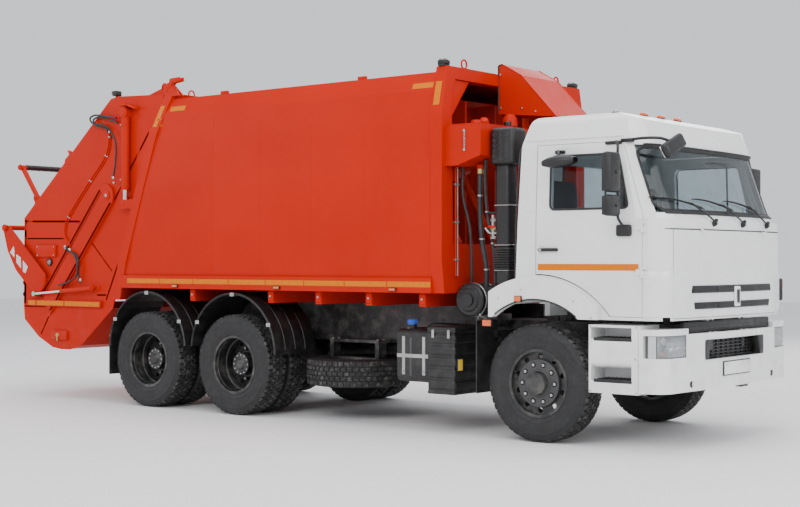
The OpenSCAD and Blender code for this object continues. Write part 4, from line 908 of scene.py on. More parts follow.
# Grille in the air opening and a lip round it
p.box((X(1.232), -0.62, 0.745), (X(1.244), 0.62, 0.938), BLACK, 0.003)
for z in span(0.768, 0.914, 5):
    p.box((X(1.244), -0.60, z - 0.006), (X(1.262), 0.60, z + 0.006), BLACK, 0.003)
for y in span(-0.5, 0.5, 10):
    p.box((X(1.244), y - 0.004, 0.75), (X(1.256), y + 0.004, 0.93), BLACK, 0.002)
bump = lambda y, z, lift=0.0: (cast(BUMPER, (X(2.2), y, z), (-1, 0, 0)) or Vector((X(1.34), y, z))) + Vector((lift, 0, 0))
loop = between(ring_points([Vector((0, -0.596, 0.750)), Vector((0, 0.596, 0.750)), Vector((0, 0.596, 0.932)), Vector((0, -0.596, 0.932))], 0.03, 4), 0.06)
xs = lambda y: X(1.345 - (y * y - 0.04) / 21.4 * 1.0 if False else 1.345 - (y * y * 1e6 - 40000) / 21400 / 1000)
gasket(p, [Vector((xs(v.y) + 0.001, v.y, v.z)) for v in loop], 0.006, WHITE, n=6)
# Side wedges of the opening
for s in (-1, 1):
    p.prism([(s * 0.592, 0.754), (s * 0.592, 0.928), (s * 0.47, 0.928), (s * 0.52, 0.754)], 0, X(1.26), X(1.335), BLACK, 0.004)
# Plate holder, blank, with screws
x0 = xs(0.3)
p.box((x0, -0.268, 0.600), (x0 + 0.012, 0.268, 0.728), BLACK, 0.006, 2)
p.box((x0 + 0.006, -0.258, 0.609), (x0 + 0.0145, 0.258, 0.719), WHITE, 0.003, 2)
for y in (-0.21, 0.21):
    p.hexagon((x0 + 0.0145, y, 0.70), (1, 0, 0), 0.007, 0.003, STEEL)
# Shallow step fields and tow sockets
for s in (-1, 1):
    lo, hi = sorted((s * 0.62, s * 1.02))
    grid = [[bump(y, z, 0.002 + 0.007 * (math.sin(PI * i / 6) ** 0.4 if 0 < i < 6 else 0) * (1 if 0 < k < 10 else 0))
             for k, y in enumerate(span(lo, hi, 10))] for i, z in enumerate(span(0.585, 0.70, 6))]
    p.sheet(grid, WHITE, 0.002)
    q = bump(s * 0.80, 0.565)
    p.lathe([(0.026, 0.004), (0.03, 0.002), (0.03, -0.02)], (q.x, s * 0.80, 0.562), (1, 0, 0), BLACK, n=24)
    p.lathe([(0.0, 0.0005), (0.026, 0.001)], (q.x, s * 0.80, 0.562), (1, 0, 0), GASKET, n=24)
# Joint line between the bumper and its corner, and its top ledge
for s in (-1, 1):
    lo, hi = sorted((s * 0.86, s * 1.22))
    p.tube([bump(y, 1.0285, 0.0) + Vector((0, 0, 0)) for y in span(lo, hi, 8)], 0.005, WHITE, n=6, smooth=1)
# Dark filler between cab and bumper
p.box((X(1.215), -0.845, 0.984), (X(1.275), 0.845, 1.080), BLACK, 0.01)
for z in (1.008, 1.036, 1.062):
    p.box((X(1.270), -0.82, z - 0.004), (X(1.282), 0.82, z + 0.004), BLACK, 0.003)
# Tow eye under the bumper
p.box((X(1.235), 0.20, 0.470), (X(1.30), 0.34, 0.5), FRAME, 0.006)
p.done()
# END A
# PIECES B
# ---------------------------------------------------------------- doors, mirrors, steps
def side_y(z):
    """How far out the cab's side stands at this height."""
    return 1.194 - 0.004 * max(0.0, z - 1.5) / 0.455 if z < 1.955 else 1.190 - 0.0465 * (z - 1.955)


for s, side_name in ((-1, "right"), (1, "left")):
    p = Piece(f"door_trim_{side_name}", f"door_{side_name}", "black_plastic", angle=35)
    flat = [(0.156, 2.045), (0.932, 2.045), (0.827, 2.510), (0.156, 2.510)]
    loop = between(ring_points([Vector((X(x), 0, z)) for x, z in flat], 0.05, 5), 0.07)
    path = [Vector((v.x, s * (side_y(v.z) + 0.001), v.z)) for v in loop]
    gasket(p, path, 0.010, GASKET, n=8)
    # Divider of the quarter light and the pane
    p.tube([(X(0.70), s * (side_y(2.04) - 0.012), 2.045), (X(0.70), s * (side_y(2.5) - 0.012), 2.51)], 0.009, GASKET, n=8, smooth=1)
    grid = []
    for v in span(2.044, 2.511, 6):
        right = 0.934 - (v - 2.045) * 0.226
        grid.append([Vector((X(x), s * (side_y(v) - 0.020), v)) for x in span(0.152, right, 6)])
    p.sheet(grid, GLASS, 0.004)
    # Handle in its dished recess
    y = side_y(1.70)
    p.lathe([(0.0, 0.001), (0.036, 0.002), (0.042, 0.004), (0.044, 0.0)], (X(0.08), s * y, 1.70), (0, s, 0), WHITE, n=28)
    p.box((X(0.045), s * y - 0.004, 1.682) if s > 0 else (X(0.045), -y - 0.030, 1.682), (X(0.245), s * y + 0.030, 1.712) if s > 0 else (X(0.245), -y + 0.004, 1.712), BLACK, 0.011, 3)
    p.lathe([(0.017, 0.028), (0.015, 0.032), (0.0, 0.033)], (X(0.072), s * y, 1.697), (0, s, 0), STEEL, n=20)
    lo = Vector((X(0.012), s * 1.6, 1.520))
    tape(p, CAB, [(X(0.035), s * 1.6, 1.518), (X(1.030), s * 1.6, 1.518), (X(1.030), s * 1.6, 1.574), (X(0.035), s * 1.6, 1.574)],
         (0, -s, 0), AMBER_TAPE, (14, 1))
    # Inner skin: pull, arm rest, window winder
    y = 1.098 * s
    a, b = sorted((y, y - s * 0.05))
    p.box((X(0.20), a, 1.78), (X(0.66), b, 1.83), TRIM, 0.02, 3)
    p.box((X(0.10), min(s * 1.098, s * 1.112), 1.42), (X(0.95), max(s * 1.098, s * 1.112), 1.98), TRIM, 0.006, 2)
    p.rod((X(0.72), y, 1.72), (X(0.72), y - s * 0.03, 1.72), 0.018, BLACK)
    p.tube([(X(0.72), y - s * 0.03, 1.72), (X(0.66), y - s * 0.035, 1.67), (X(0.60), y - s * 0.035, 1.66)], 0.008, BLACK)
    p.done()

    # Mirrors on their stay
    m = Piece(f"mirror_set_{side_name}", f"door_{side_name}", "black_plastic", angle=40)
    stay = [(X(0.800), s * 1.165, 2.600), (X(0.84), s * 1.225, 2.605), (X(0.876), s * 1.268, 2.572), (X(0.880), s * 1.275, 2.50),
            (X(0.880), s * 1.275, 2.20), (X(0.880), s * 1.275, 1.99), (X(0.886), s * 1.268, 1.945), (X(0.90), s * 1.235, 1.90), (X(0.905), s * 1.192, 1.865)]
    m.tube(stay, 0.0115, BLACK, n=12, smooth=5)
    a, b = sorted((s * 1.182, s * 1.232))
    m.box((X(0.83), a, 1.805), (X(0.968), b, 1.905), BLACK, 0.018, 3)
    a, b = sorted((s * 1.150, s * 1.182))
    m.box((X(0.70), a, 2.585), (X(0.86), b, 2.615), BLACK, 0.010, 2)
    for z0, z1 in ((2.170, 2.505), (1.972, 2.148)):
        a, b = sorted((s * 1.280, s * 1.478))
        m.box((X(0.846), a, z0), (X(0.918), b, z1), BLACK, 0.028, 5)
        m.box((X(0.838), a + 0.008, z0 + 0.008), (X(0.856), b - 0.008, z1 - 0.008), BLACK, 0.008, 2)
        m.box((X(0.8355), a + 0.016, z0 + 0.016), (X(0.840), b - 0.016, z1 - 0.016), REFLECTOR, 0.002, 1)
        zc = (z0 + z1) / 2
        m.box((X(0.872), min(s * 1.262, s * 1.300), zc - 0.022), (X(0.900), max(s * 1.262, s * 1.300), zc + 0.022), STEEL, 0.006, 2)
        m.lathe([(0.016, 0.0), (0.016, 0.008), (0.010, 0.012), (0.0, 0.012)], (X(0.916), s * 1.36, zc), (1, 0, 0), BLACK, n=20)
    if s < 0:
        # Kerb mirror over the window
        rows = []
        for i, x in enumerate(span(0.165, 0.485, 12)):
            t = math.sin(PI * (0.06 + 0.88 * i / 12)) ** 0.45
            ring = []
            for k in range(16):
                an = TAU * k / 16
                cx, cz = math.cos(an), math.sin(an)
                ring.append(Vector((X(x), -1.300 - 0.085 * t * (abs(cx) ** 0.7 * (1 if cx > 0 else -1)), 2.452 + 0.052 * t * (abs(cz) ** 0.8 * (1 if cz > 0 else -1)) + 0.02 * (i / 12 - 0.5))))
            rows.append(ring + [ring[0]])
        m.sheet(rows, BLACK, 0.0)
        m.tube([(X(0.24), -1.160, 2.545), (X(0.26), -1.215, 2.55), (X(0.30), -1.27, 2.515), (X(0.31), -1.29, 2.48)], 0.012, BLACK, n=10, smooth=5)
        m.box((X(0.20), -1.180, 2.528), (X(0.30), -1.148, 2.560), BLACK, 0.008, 2)
    m.done(replaces=[f"mirror_{side_name}"])

p = Piece("front_mirror", "cab", "black_plastic", angle=40)
p.box((X(0.84), -1.165, 2.600), (X(0.95), -1.105, 2.632), BLACK, 0.010, 2)
p.tube([(X(0.90), -1.135, 2.62), (X(1.05), -1.13, 2.628), (X(1.18), -1.10, 2.622), (X(1.235), -1.03, 2.600)], 0.0125, BLACK, n=12, smooth=6)
mat4 = Matrix.Translation((X(1.245), -0.985, 2.565)) @ Matrix.Rotation(math.radians(22), 4, "X") @ Matrix.Rotation(math.radians(-18), 4, "Y")
p.box((-0.036, -0.165, -0.062), (0.036, 0.165, 0.062), BLACK, 0.03, 5, mat4)
p.box((-0.040, -0.150, -0.050), (-0.030, 0.150, 0.050), REFLECTOR, 0.004, 1, mat4)
p.done()

STEPS = tree_of("entry_steps")
for s, side_name in ((-1, "right"), (1, "left")):
    p = Piece(f"steps_{side_name}", "root", "black_plastic", angle=35)
    for z in (0.590, 0.940):
        a, b = sorted((s * 1.2485, s * 1.015))
        p.box((X(0.640), a, z), (X(0.990), b, z + 0.012), BLACK, 0.004, 2)
        for k in range(9):
            x = X(0.655 + 0.04 * k)
            p.box((x, a + 0.012, z + 0.010), (x + 0.014, b - 0.02, z + 0.018), BLACK, 0.003, 1)
        p.box((X(0.630), min(s * 1.252, s * 1.236), z - 0.016), (X(1.000), max(s * 1.252, s * 1.236), z + 0.014), BLACK, 0.006, 2)
    # Pressed dish over the lower tread
    rows = []
    for yy, z in ((1.2490, 0.874), (1.2495, 0.780), (1.245, 0.742), (1.225, 0.716), (1.17, 0.695), (1.05, 0.685)):
        rows.append([Vector((X(x), s * yy, z)) for x in span(0.603, 0.997, 8)])
    p.sheet(rows, WHITE, 0.003)
    # Panel edge and screws
    for x, z in ((0.60, 0.50), (1.04, 0.50), (0.60, 1.045), (1.04, 1.045), (1.03, 0.78)):
        p.lathe([(0, 0.003), (0.007, 0.003), (0.009, 0.0)], (X(x), s * 1.25, z), (0, s, 0), STEEL, n=12)
    # Lip of the wheel arch and the side repeater
    pts = []
    for k in range(25):
        an = math.radians(28 + 118 * k / 24)
        x, z = 0.030 + 0.704 * math.cos(an), 0.560 + 0.704 * math.sin(an)
        if -0.44 < x < 0.66 and z > 1.105:
            pts.append((X(x), s * 1.2485, z))
    if len(pts) > 3:
        p.tube(pts, 0.007, GASKET, n=8, smooth=1)
    p.done()
    p = Piece(f"repeater_{side_name}", "cab", "tail_lamp", angle=35)
    p.box((X(-0.172), min(s * 1.245, s * 1.266), 1.236), (X(-0.092), max(s * 1.245, s * 1.266), 1.292), BLACK, 0.006, 2)
    p.box((X(-0.166), min(s * 1.26, s * 1.276), 1.242), (X(-0.098), max(s * 1.26, s * 1.276), 1.286), AMBER, 0.007, 3)
    # Rear edge rubber of the cab and the bolt line of the flare
    p.tube([(X(-0.205), s * 1.190, 1.42), (X(-0.196), s * 1.190, 1.95), (X(-0.175), s * 1.165, 2.50), (X(-0.165), s * 1.13, 2.62)], 0.007, GASKET, n=8, smooth=4)
    for an in (100, 118, 136, 60, 44):
        x, z = 0.030 + 0.80 * math.cos(math.radians(an)), 0.560 + 0.80 * math.sin(math.radians(an))
        p.lathe([(0, 0.003), (0.007, 0.003), (0.009, 0.0)], (X(x), s * 1.25, z), (0, s, 0), STEEL, n=12)
    p.done()

# ---------------------------------------------------------------- cab inside
def cushion(name, body, lo, hi, channels, crown=0.03, along=0, up=2):
    """A crowned foam pad with pulled-in edges and sewn channels, made from a dense rounded block."""
    bm = bmesh.new()
    bmesh.ops.create_cube(bm, size=2)
    bmesh.ops.subdivide_edges(bm, edges=list(bm.edges), cuts=15, use_grid_fill=True)
    size = [(hi[k] - lo[k]) / 2 for k in range(3)]
    mid = [(hi[k] + lo[k]) / 2 for k in range(3)]
    for v in bm.verts:
        c = list(v.co)
        n = sum(abs(t) ** 7 for t in c) ** (1 / 7)
        q = [t / n * max(abs(a) for a in v.co) for t in c]
        a, b = [k for k in range(3) if k != up]
        sides = (1 - q[a] ** 4) * (1 - q[b] ** 4)
        if q[up] * (1 if up == 2 else 1) > 0.2:
            q[up] = q[up] * (1 - crown / size[up]) + (crown / size[up]) * sides
            for ch in channels:
                q[up] -= 0.010 / size[up] * math.exp(-((q[along] - ch) / 0.035) ** 2)
        pinch = 1 - 0.05 * (1 - abs(q[up])) * (abs(q[a]) > 0.7 or abs(q[b]) > 0.7)
        q[a] *= pinch
        q[b] *= pinch
        v.co = Vector([mid[k] + size[k] * q[k] for k in range(3)])
    bm.verts.index_update()
    piece = Piece(name, body, "seat_fabric", angle=60)
    piece.take(bm, SEAT)
    return piece


for s, side_name in ((-1, "right"), (1, "left")):
    a, b = sorted((s * 1.0, s * 0.52))
    pad = cushion(f"seat_pad_{side_name}", "cab", (X(0.062), a, 1.562), (X(0.558), b, 1.688), (-0.45, 0.0, 0.45), 0.026, 0, 2)
    pad.tube([(X(0.10), a + 0.03, 1.640), (X(0.52), a + 0.03, 1.640), (X(0.545), (a + b) / 2, 1.640), (X(0.52), b - 0.03, 1.640), (X(0.10), b - 0.03, 1.640)],
             0.004, GASKET, n=6, smooth=5)
    ob = pad.done(replaces=["seats"])
    back = cushion(f"seat_back_{side_name}", "cab", (X(-0.058), a, 1.70), (X(0.060), b, 2.325), (-0.5, -0.1, 0.3, 0.65), 0.022, 2, 0)
    ob = back.done()
    p = Piece(f"seat_base_{side_name}", "cab", "trim_plastic", angle=35)
    p.box((X(0.12), a + 0.08, 1.345), (X(0.48), b - 0.08, 1.56), TRIM, 0.015, 2)
    p.box((X(-0.02), a + 0.05, 1.59), (X(0.06), b - 0.05, 1.70), TRIM, 0.015, 2)
    for k in range(5):
        p.box((X(0.115), a + 0.075, 1.38 + 0.035 * k), (X(0.485), b - 0.075, 1.39 + 0.035 * k), GASKET, 0.004, 1)
    p.box((X(0.10), a + 0.06, 1.342), (X(0.52), a + 0.10, 1.36), STEEL, 0.004, 1)
    p.box((X(0.10), b - 0.10, 1.342), (X(0.52), b - 0.06, 1.36), STEEL, 0.004, 1)
    p.done()

p = Piece("dash_details", "cab", "trim_plastic", angle=35)
p.box((X(0.855), 0.42, 1.72), (X(0.885), 0.98, 1.86), TRIM, 0.014, 3)
p.prism([(X(0.86), 1.828), (X(1.07), 1.828), (X(1.04), 1.875), (X(0.90), 1.905)], 1, 0.44, 0.96, TRIM, 0.012)
for y, r in ((0.60, 0.055), (0.80, 0.055), (0.705, 0.030)):
    p.lathe([(r, 0.0), (r, 0.012), (r - 0.006, 0.014), (r - 0.008, 0.006), (0, 0.006)], (X(0.858), y, 1.795), (-1, 0, 0), BLACK, n=32)
    p.lathe([(0, 0.0075), (r - 0.01, 0.0075)], (X(0.858), y, 1.795), (-1, 0, 0), WHITE_TAPE, n=24)
    p.box((X(0.8475), y - 0.002, 1.795), (X(0.849), y + 0.002, 1.795 + r * 0.7), RED_TAPE, 0.0)
for k in range(6):
    p.box((X(0.866), 0.05 + 0.05 * k, 1.70), (X(0.882), 0.09 + 0.05 * k, 1.73), BLACK, 0.004, 2)
for y in (-0.95, -0.35, 0.12):
    p.box((X(0.868), y - 0.08, 1.755), (X(0.884), y + 0.08, 1.805), BLACK, 0.005, 2)
    for k in range(4):
        p.box((X(0.860), y - 0.07, 1.762 + 0.011 * k), (X(0.872), y + 0.07, 1.766 + 0.011 * k), TRIM, 0.001, 1)
p.box((X(0.868), -0.95, 1.60), (X(0.884), -0.50, 1.73), TRIM, 0.01, 3)
p.box((X(0.20), -0.36, 1.525), (X(0.70), 0.36, 1.56), TRIM, 0.014, 2)
p.tube([(X(0.62), 0.30, 1.55), (X(0.60), 0.31, 1.72), (X(0.57), 0.33, 1.84)], 0.011, BLACK)
p.lathe([(0, 0.04), (0.018, 0.034), (0.024, 0.015), (0.018, -0.01), (0, -0.012)], (X(0.57), 0.33, 1.85), (0, 0, 1), BLACK, n=20)
for s in (-1, 1):
    p.box((X(0.80), s * 0.70 - 0.22, 2.50), (X(0.90), s * 0.70 + 0.22, 2.515), TRIM, 0.006, 2)
    p.box((X(0.10), s * 0.78 - 0.3, 1.341), (X(0.85), s * 0.78 + 0.3, 1.352), GASKET, 0.004, 1)
p.box((X(-0.14), -0.9, 1.62), (X(-0.125), 0.9, 2.04), TRIM, 0.006, 1)
p.done()
p = Piece("wheel_grip", "steering_wheel", "rim_leather", angle=40)
c = Vector((X(0.74), 0.70, 1.85))
axis = Vector((-math.sin(math.radians(30)), 0, math.cos(math.radians(30))))
u = axis.cross(Vector((0, 1, 0))).normalized()
w = Vector((0, 1, 0))
for k in range(36):
    an = TAU * k / 36
    centre = c + (u * math.cos(an) + w * math.sin(an)) * 0.215
    tang = (w * math.cos(an) - u * math.sin(an))
    p.lathe([(0.0138, -0.006), (0.0152, -0.003), (0.0152, 0.003), (0.0138, 0.006)], centre, tang, BLACK, n=14)
p.lathe([(0, 0.022), (0.05, 0.020), (0.066, 0.010), (0.070, -0.002), (0.05, -0.012)], c, axis, TRIM, n=36)
p.done()
# END B
# PIECES C
# ---------------------------------------------------------------- compactor body
SIDE = tree_of("body_shell", "body_frame")
for s, side_name in ((-1, "right"), (1, "left")):
    p = Piece(f"body_marks_{side_name}", "root", "tail_lamp", angle=35)

    def band(x0, x1, z0, z1, n=(6, 1), mat=AMBER_TAPE):
        tape(p, SIDE, [(X(x0), s * 1.6, z0), (X(x1), s * 1.6, z0), (X(x1), s * 1.6, z1), (X(x0), s * 1.6, z1)], (0, -s, 0), mat, n)

    x = -5.33
    while x < -1.12:
        band(x, min(x + 0.52, -1.105), 1.354, 1.406)
        x += 0.53
    band(-4.870, -4.800, 3.062, 3.150, (1, 3))
    tape(p, SIDE, [(X(-4.93), s * 1.6, 3.06), (X(-4.865), s * 1.6, 3.06), (X(-4.785), s * 1.6, 3.29), (X(-4.85), s * 1.6, 3.29)], (0, -s, 0), AMBER_TAPE, (1, 5))
    band(-4.70, -4.47, 3.218, 3.272, (4, 1))
    band(-1.36, -1.115, 3.210, 3.262, (4, 1))
    band(-1.080, -1.010, 3.040, 3.262, (1, 4))
    p.done()

    p = Piece(f"body_fittings_{side_name}", "root", "body_paint", angle=35)
    # Weld beads where the side sheet meets the frames
    for x0, z0, x1, z1 in ((-1.104, 1.46, -1.104, 3.16),):
        pts = [cast(SIDE, (X(x0 - 0.006), s * 1.6, z), (0, -s, 0), 0.001) for z in span(z0, z1, 24)]
        p.tube([q for q in pts if q], 0.005, ORANGE, n=6, smooth=1)
    pts = []
    for z in span(1.46, 3.16, 24):
        x = -4.70 - math.tan(math.radians(19.8)) * (3.4 - z) + 0.006
        q = cast(SIDE, (X(x), s * 1.6, z), (0, -s, 0), 0.001)
        if q:
            pts.append(q)
    p.tube(pts, 0.005, ORANGE, n=6, smooth=1)
    for z in (1.443,):
        pts = [cast(SIDE, (X(x), s * 1.6, z), (0, -s, 0), 0.0) for x in span(-5.33, -1.12, 60)]
        p.tube([q for q in pts if q], 0.006, ORANGE, n=6, smooth=1)
    # Faint stiffening swages of the side sheet
    for x in (-1.9, -2.6, -3.3, -4.0):
        pts = [cast(SIDE, (X(x), s * 1.6, z), (0, -s, 0), -0.0035) for z in span(1.47, 3.12, 24)]
        p.tube([q for q in pts if q], 0.006, ORANGE, n=8, smooth=1)
    # Work lamp and lifting eye on the front frame, and an eye at the back
    top = cast(SIDE, (X(-1.04), s * 1.13, 3.9), (0, 0, -1))
    if top:
        m = Matrix.Translation(top)
        p.box((-0.035, -0.05, 0.0), (0.035, 0.05, 0.022), BLACK, 0.006, 2, m)
        p.box((-0.045, -0.045, 0.018), (0.045, 0.045, 0.058), BLACK, 0.012, 3, m)
        p.box((-0.036, -0.036, 0.050), (0.036, 0.036, 0.074), CLEAR, 0.010, 3, m)
    for x, y in ((-1.04, 0.81), (-4.62, 0.95)):
        q = cast(SIDE, (X(x), s * y, 3.9), (0, 0, -1))
        if q:
            pts = [q + Vector((0, 0.042 * math.cos(TAU * k / 20) * 1.0, 0.052 + 0.042 * math.sin(TAU * k / 20))) for k in range(21)]
            p.tube(pts, 0.009, ORANGE, n=8, smooth=1)
            p.box(q + Vector((-0.03, -0.05, -0.004)), q + Vector((0.03, 0.05, 0.012)), ORANGE, 0.004, 1)
    # Two small brackets at the roof's edge
    for x in (-3.95, -2.05):
        q = cast(SIDE, (X(x), s * 1.10, 3.9), (0, 0, -1))
        if q:
            p.box(q + Vector((-0.05, -0.02, -0.01)), q + Vector((0.05, 0.02, 0.035)), ORANGE, 0.008, 2)
    # Gusset plates in the front frame's corners
    for z0, z1 in ((3.285, 2.93),):
        a, b = (X(-1.000), X(-0.988))
        p.prism([(s * 1.085, z0), (s * 0.80, z0), (s * 1.085, z1)], 0, a, b, ORANGE, 0.002)
        p.prism([(s * 1.08, 1.765), (s * 0.90, 1.765), (s * 1.08, 2.0)], 0, a, b, ORANGE, 0.002)
    # Twist locks between body and chassis, and edge lamps on the sill
    for x in (-1.25, -1.9, -2.55, -3.2, -4.35):
        a, b = sorted((s * 1.17, s * 1.19))
        p.box((X(x) - 0.036, a, 1.19), (X(x) + 0.036, b, 1.29), ORANGE, 0.004, 1)
        p.hexagon((X(x), s * 1.19, 1.24), (0, s, 0), 0.012, 0.008, STEEL)
    for x in (-1.55, -3.05, -4.55):
        q = cast(SIDE, (X(x), s * 1.6, 1.33), (0, -s, 0))
        if q:
            a, b = sorted((q.y - s * 0.004, q.y + s * 0.016))
            p.box((X(x) - 0.045, a, 1.312), (X(x) + 0.045, b, 1.346), BLACK, 0.006, 2)
            a, b = sorted((q.y + s * 0.008, q.y + s * 0.024))
            p.box((X(x) - 0.036, a, 1.317), (X(x) + 0.036, b, 1.341), AMBER, 0.007, 3)
    p.done()

p = Piece("body_front_details", "root", "body_paint", angle=35)
# Hood: rubber edge, folded seam and bolts
for s in (-1, 1):
    edge = [(X(-0.975), s * 0.331, 3.03), (X(-0.975), s * 0.331, 3.49), (X(-0.935), s * 0.331, 3.500)]
    p.tube(edge, 0.008, GASKET, n=8, smooth=1)
    p.tube([(X(-0.93), s * 0.330, 3.500), (X(-0.71), s * 0.330, 3.376), (X(-0.317), s * 0.330, 2.961), (X(-0.91), s * 0.330, 3.017)], 0.005, ORANGE, n=8, smooth=1)
    for x, z in ((-0.95, 3.08), (-0.95, 3.40), (-0.70, 3.06), (-0.55, 3.02)):
        p.hexagon((X(x), s * 0.330, z), (0, s, 0), 0.011, 0.008, STEEL)
# Oil tank: weld seams, level gauge, filler, return filter
p.tube([(X(-0.576), -1.2, 2.56), (X(-0.576), -1.2, 2.85), (X(-0.97), -1.2, 2.85)], 0.004, ORANGE, n=6, smooth=1)
p.tube([(X(-0.97), -1.2, 2.476), (X(-0.83), -1.2, 2.476), (X(-0.576), -1.2, 2.56)], 0.004, ORANGE, n=6, smooth=1)
p.lathe([(0.055, 0.0), (0.055, 0.02), (0.048, 0.03), (0.048, 0.05), (0.040, 0.056), (0, 0.056)], (X(-0.80), -0.95, 2.85), (0, 0, 1), ORANGE, n=32)
p.lathe([(0.030, 0.0), (0.030, 0.03), (0.036, 0.032), (0.036, 0.06), (0.028, 0.066), (0, 0.066)], (X(-0.72), -0.55, 2.85), (0, 0, 1), BLACK, n=28)
p.rod((X(-0.75), -1.204, 2.62), (X(-0.75), -1.204, 2.78), 0.010, CLEAR)
for z in (2.612, 2.788):
    p.hexagon((X(-0.75), -1.200, z), (0, -1, 0), 0.014, 0.014, STEEL)
# Red dome under the hood and its arm
p.lathe([(0.0, 0.075), (0.045, 0.062), (0.068, 0.03), (0.07, 0.0), (0.07, -0.05)], (X(-0.78), -0.42, 2.93), (0, 0, 1), ORANGE, n=32)
p.lathe([(0, 0.05), (0.035, 0.04), (0.05, 0.015), (0.05, -0.03)], (X(-0.86), -0.74, 2.90), (0.3, -0.4, 0.6), ORANGE, n=28)
# Brace tubes and plates behind the opening
for s in (-1, 1):
    p.tube([(X(-1.02), s * 0.36, 1.79), (X(-1.10), s * 0.62, 2.25), (X(-1.16), s * 0.92, 2.75)], 0.028, ORANGE_IN, n=12, smooth=3)
    p.prism([(s * 1.07, 2.30), (s * 0.62, 2.44), (s * 0.62, 2.50), (s * 1.07, 2.44)], 0, X(-1.12), X(-1.10), ORANGE_IN, 0.003)
# Suction and pressure hoses below the tank, valve and pipes
p.tube([(X(-0.72), -1.0, 2.44), (X(-0.722), -1.0, 2.10), (X(-0.70), -1.0, 1.80), (X(-0.66), -0.98, 1.50), (X(-0.72), -0.93, 1.18)], 0.024, HOSE, n=16, smooth=8)
p.tube([(X(-0.64), -1.02, 2.53), (X(-0.67), -0.99, 2.34), (X(-0.655), -0.98, 2.05), (X(-0.60), -0.97, 1.76), (X(-0.58), -0.96, 1.50), (X(-0.63), -0.90, 1.18)], 0.016, HOSE, n=14, smooth=8)
p.tube([(X(-0.90), -1.02, 2.49), (X(-0.90), -1.02, 2.20), (X(-0.84), -1.0, 1.92), (X(-0.83), -0.98, 1.60), (X(-0.88), -0.92, 1.18)], 0.014, HOSE, n=14, smooth=8)
p.hexagon((X(-0.72), -1.0, 2.485), (0, 0, -1), 0.030, 0.05, ORANGE)
p.lathe([(0.026, 0.0), (0.031, 0.003), (0.031, 0.045), (0.026, 0.05)], (X(-0.72), -1.0, 2.40), (0, 0, 1), BRASS, n=24)
for x, y, z, r in ((-0.70, -1.0, 1.80, 0.0255), (-0.662, -0.981, 1.52, 0.0255), (-0.722, -1.0, 2.20, 0.0255), (-0.60, -0.97, 1.76, 0.0175), (-0.657, -0.98, 2.05, 0.0175)):
    p.lathe([(r, -0.008), (r + 0.003, -0.006), (r + 0.003, 0.006), (r, 0.008)], (X(x), y, z), (0, 0, 1), STEEL, n=20)
p.rod((X(-0.575), -1.0, 1.80), (X(-0.575), -1.0, 2.02), 0.016, STEEL)
for z in (1.80, 1.88, 1.96):
    p.hexagon((X(-0.575), -1.0, z), (0, 0, 1), 0.024, 0.026, BRASS if z == 1.88 else STEEL)
p.tube([(X(-0.66), -0.995, 2.035), (X(-0.60), -1.0, 2.04), (X(-0.45), -1.0, 2.04)], 0.010, HOSE, n=10, smooth=4)
p.tube([(X(-0.66), -1.0, 1.90), (X(-0.62), -1.0, 1.86), (X(-0.57), -1.0, 1.85), (X(-0.50), -1.0, 1.865), (X(-0.45), -0.99, 1.865)], 0.012, STEEL, n=12, smooth=5)
p.box((X(-0.61), -1.035, 1.905), (X(-0.54), -1.022, 1.922), RED_TAPE, 0.003, 1)
p.tube([(X(-0.955), -1.06, 2.47), (X(-0.955), -1.06, 2.0), (X(-0.955), -1.06, 1.46)], 0.010, ORANGE, n=10, smooth=2)
p.tube([(X(-0.955), -1.03, 2.47), (X(-0.955), -1.03, 2.0), (X(-0.955), -1.03, 1.46)], 0.007, STEEL, n=10, smooth=2)
for z in (2.30, 1.95, 1.60):
    p.box((X(-0.975), -1.075, z), (X(-0.943), -1.015, z + 0.02), STEEL, 0.003, 1)
# Rear wall bulkhead pipes on the left and an electric box
p.box((X(-0.99), 0.72, 1.92), (X(-0.90), 1.02, 2.30), BLACK, 0.015, 3)
p.box((X(-0.905), 0.74, 1.94), (X(-0.893), 1.00, 2.28), TRIM, 0.008, 2)
for y in (0.76, 0.98):
    p.hexagon((X(-0.893), y, 1.96), (1, 0, 0), 0.009, 0.006, STEEL)
    p.hexagon((X(-0.893), y, 2.26), (1, 0, 0), 0.009, 0.006, STEEL)
for k in range(3):
    p.tube([(X(-0.94), 0.80 + 0.05 * k, 1.92), (X(-0.93), 0.81 + 0.05 * k, 1.72), (X(-0.95), 0.78 + 0.05 * k, 1.48)], 0.009, HOSE, n=8, smooth=5)
p.done()

# Air intake: rounded head with drilled rings, duct, bellows, ribbed filter can
p = Piece("intake_snorkel", "root", "black_plastic", angle=35)
p.box((X(-0.565), -1.080, 2.470), (X(-0.295), -0.850, 2.810), BLACK, 0.045, 6)
p.box((X(-0.535), -1.030, 1.72), (X(-0.385), -0.880, 2.49), BLACK, 0.030, 4)
p.box((X(-0.535), -1.030, 1.38), (X(-0.385), -0.880, 1.52), BLACK, 0.030, 4)
for k in range(9):
    z = 1.525 + 0.022 * k
    p.box((X(-0.548), -1.043, z), (X(-0.372), -0.867, z + 0.015), GASKET, 0.007, 2)
p.box((X(-0.527), -1.022, 1.50), (X(-0.393), -0.888, 1.74), GASKET, 0.02, 3)
for z in (1.508, 1.738, 2.10):
    p.box((X(-0.541), -1.036, z), (X(-0.379), -0.874, z + 0.012), STEEL, 0.004, 1)
for col, x in enumerate((-0.500, -0.430, -0.360)):
    for row in range(5 + (col == 1)):
        z = 2.540 + 0.048 * row - (0.024 if col == 1 else 0) + 0.01
        p.lathe([(0.0145, -0.004), (0.0150, 0.003), (0.0195, 0.004), (0.0205, 0.0)], (X(x), -1.080, z), (0, -1, 0), COVER, n=20)
        p.lathe([(0, 0.0012), (0.0148, 0.0012)], (X(x), -1.080, z), (0, -1, 0), GASKET, n=20)
fx = X(-0.805)
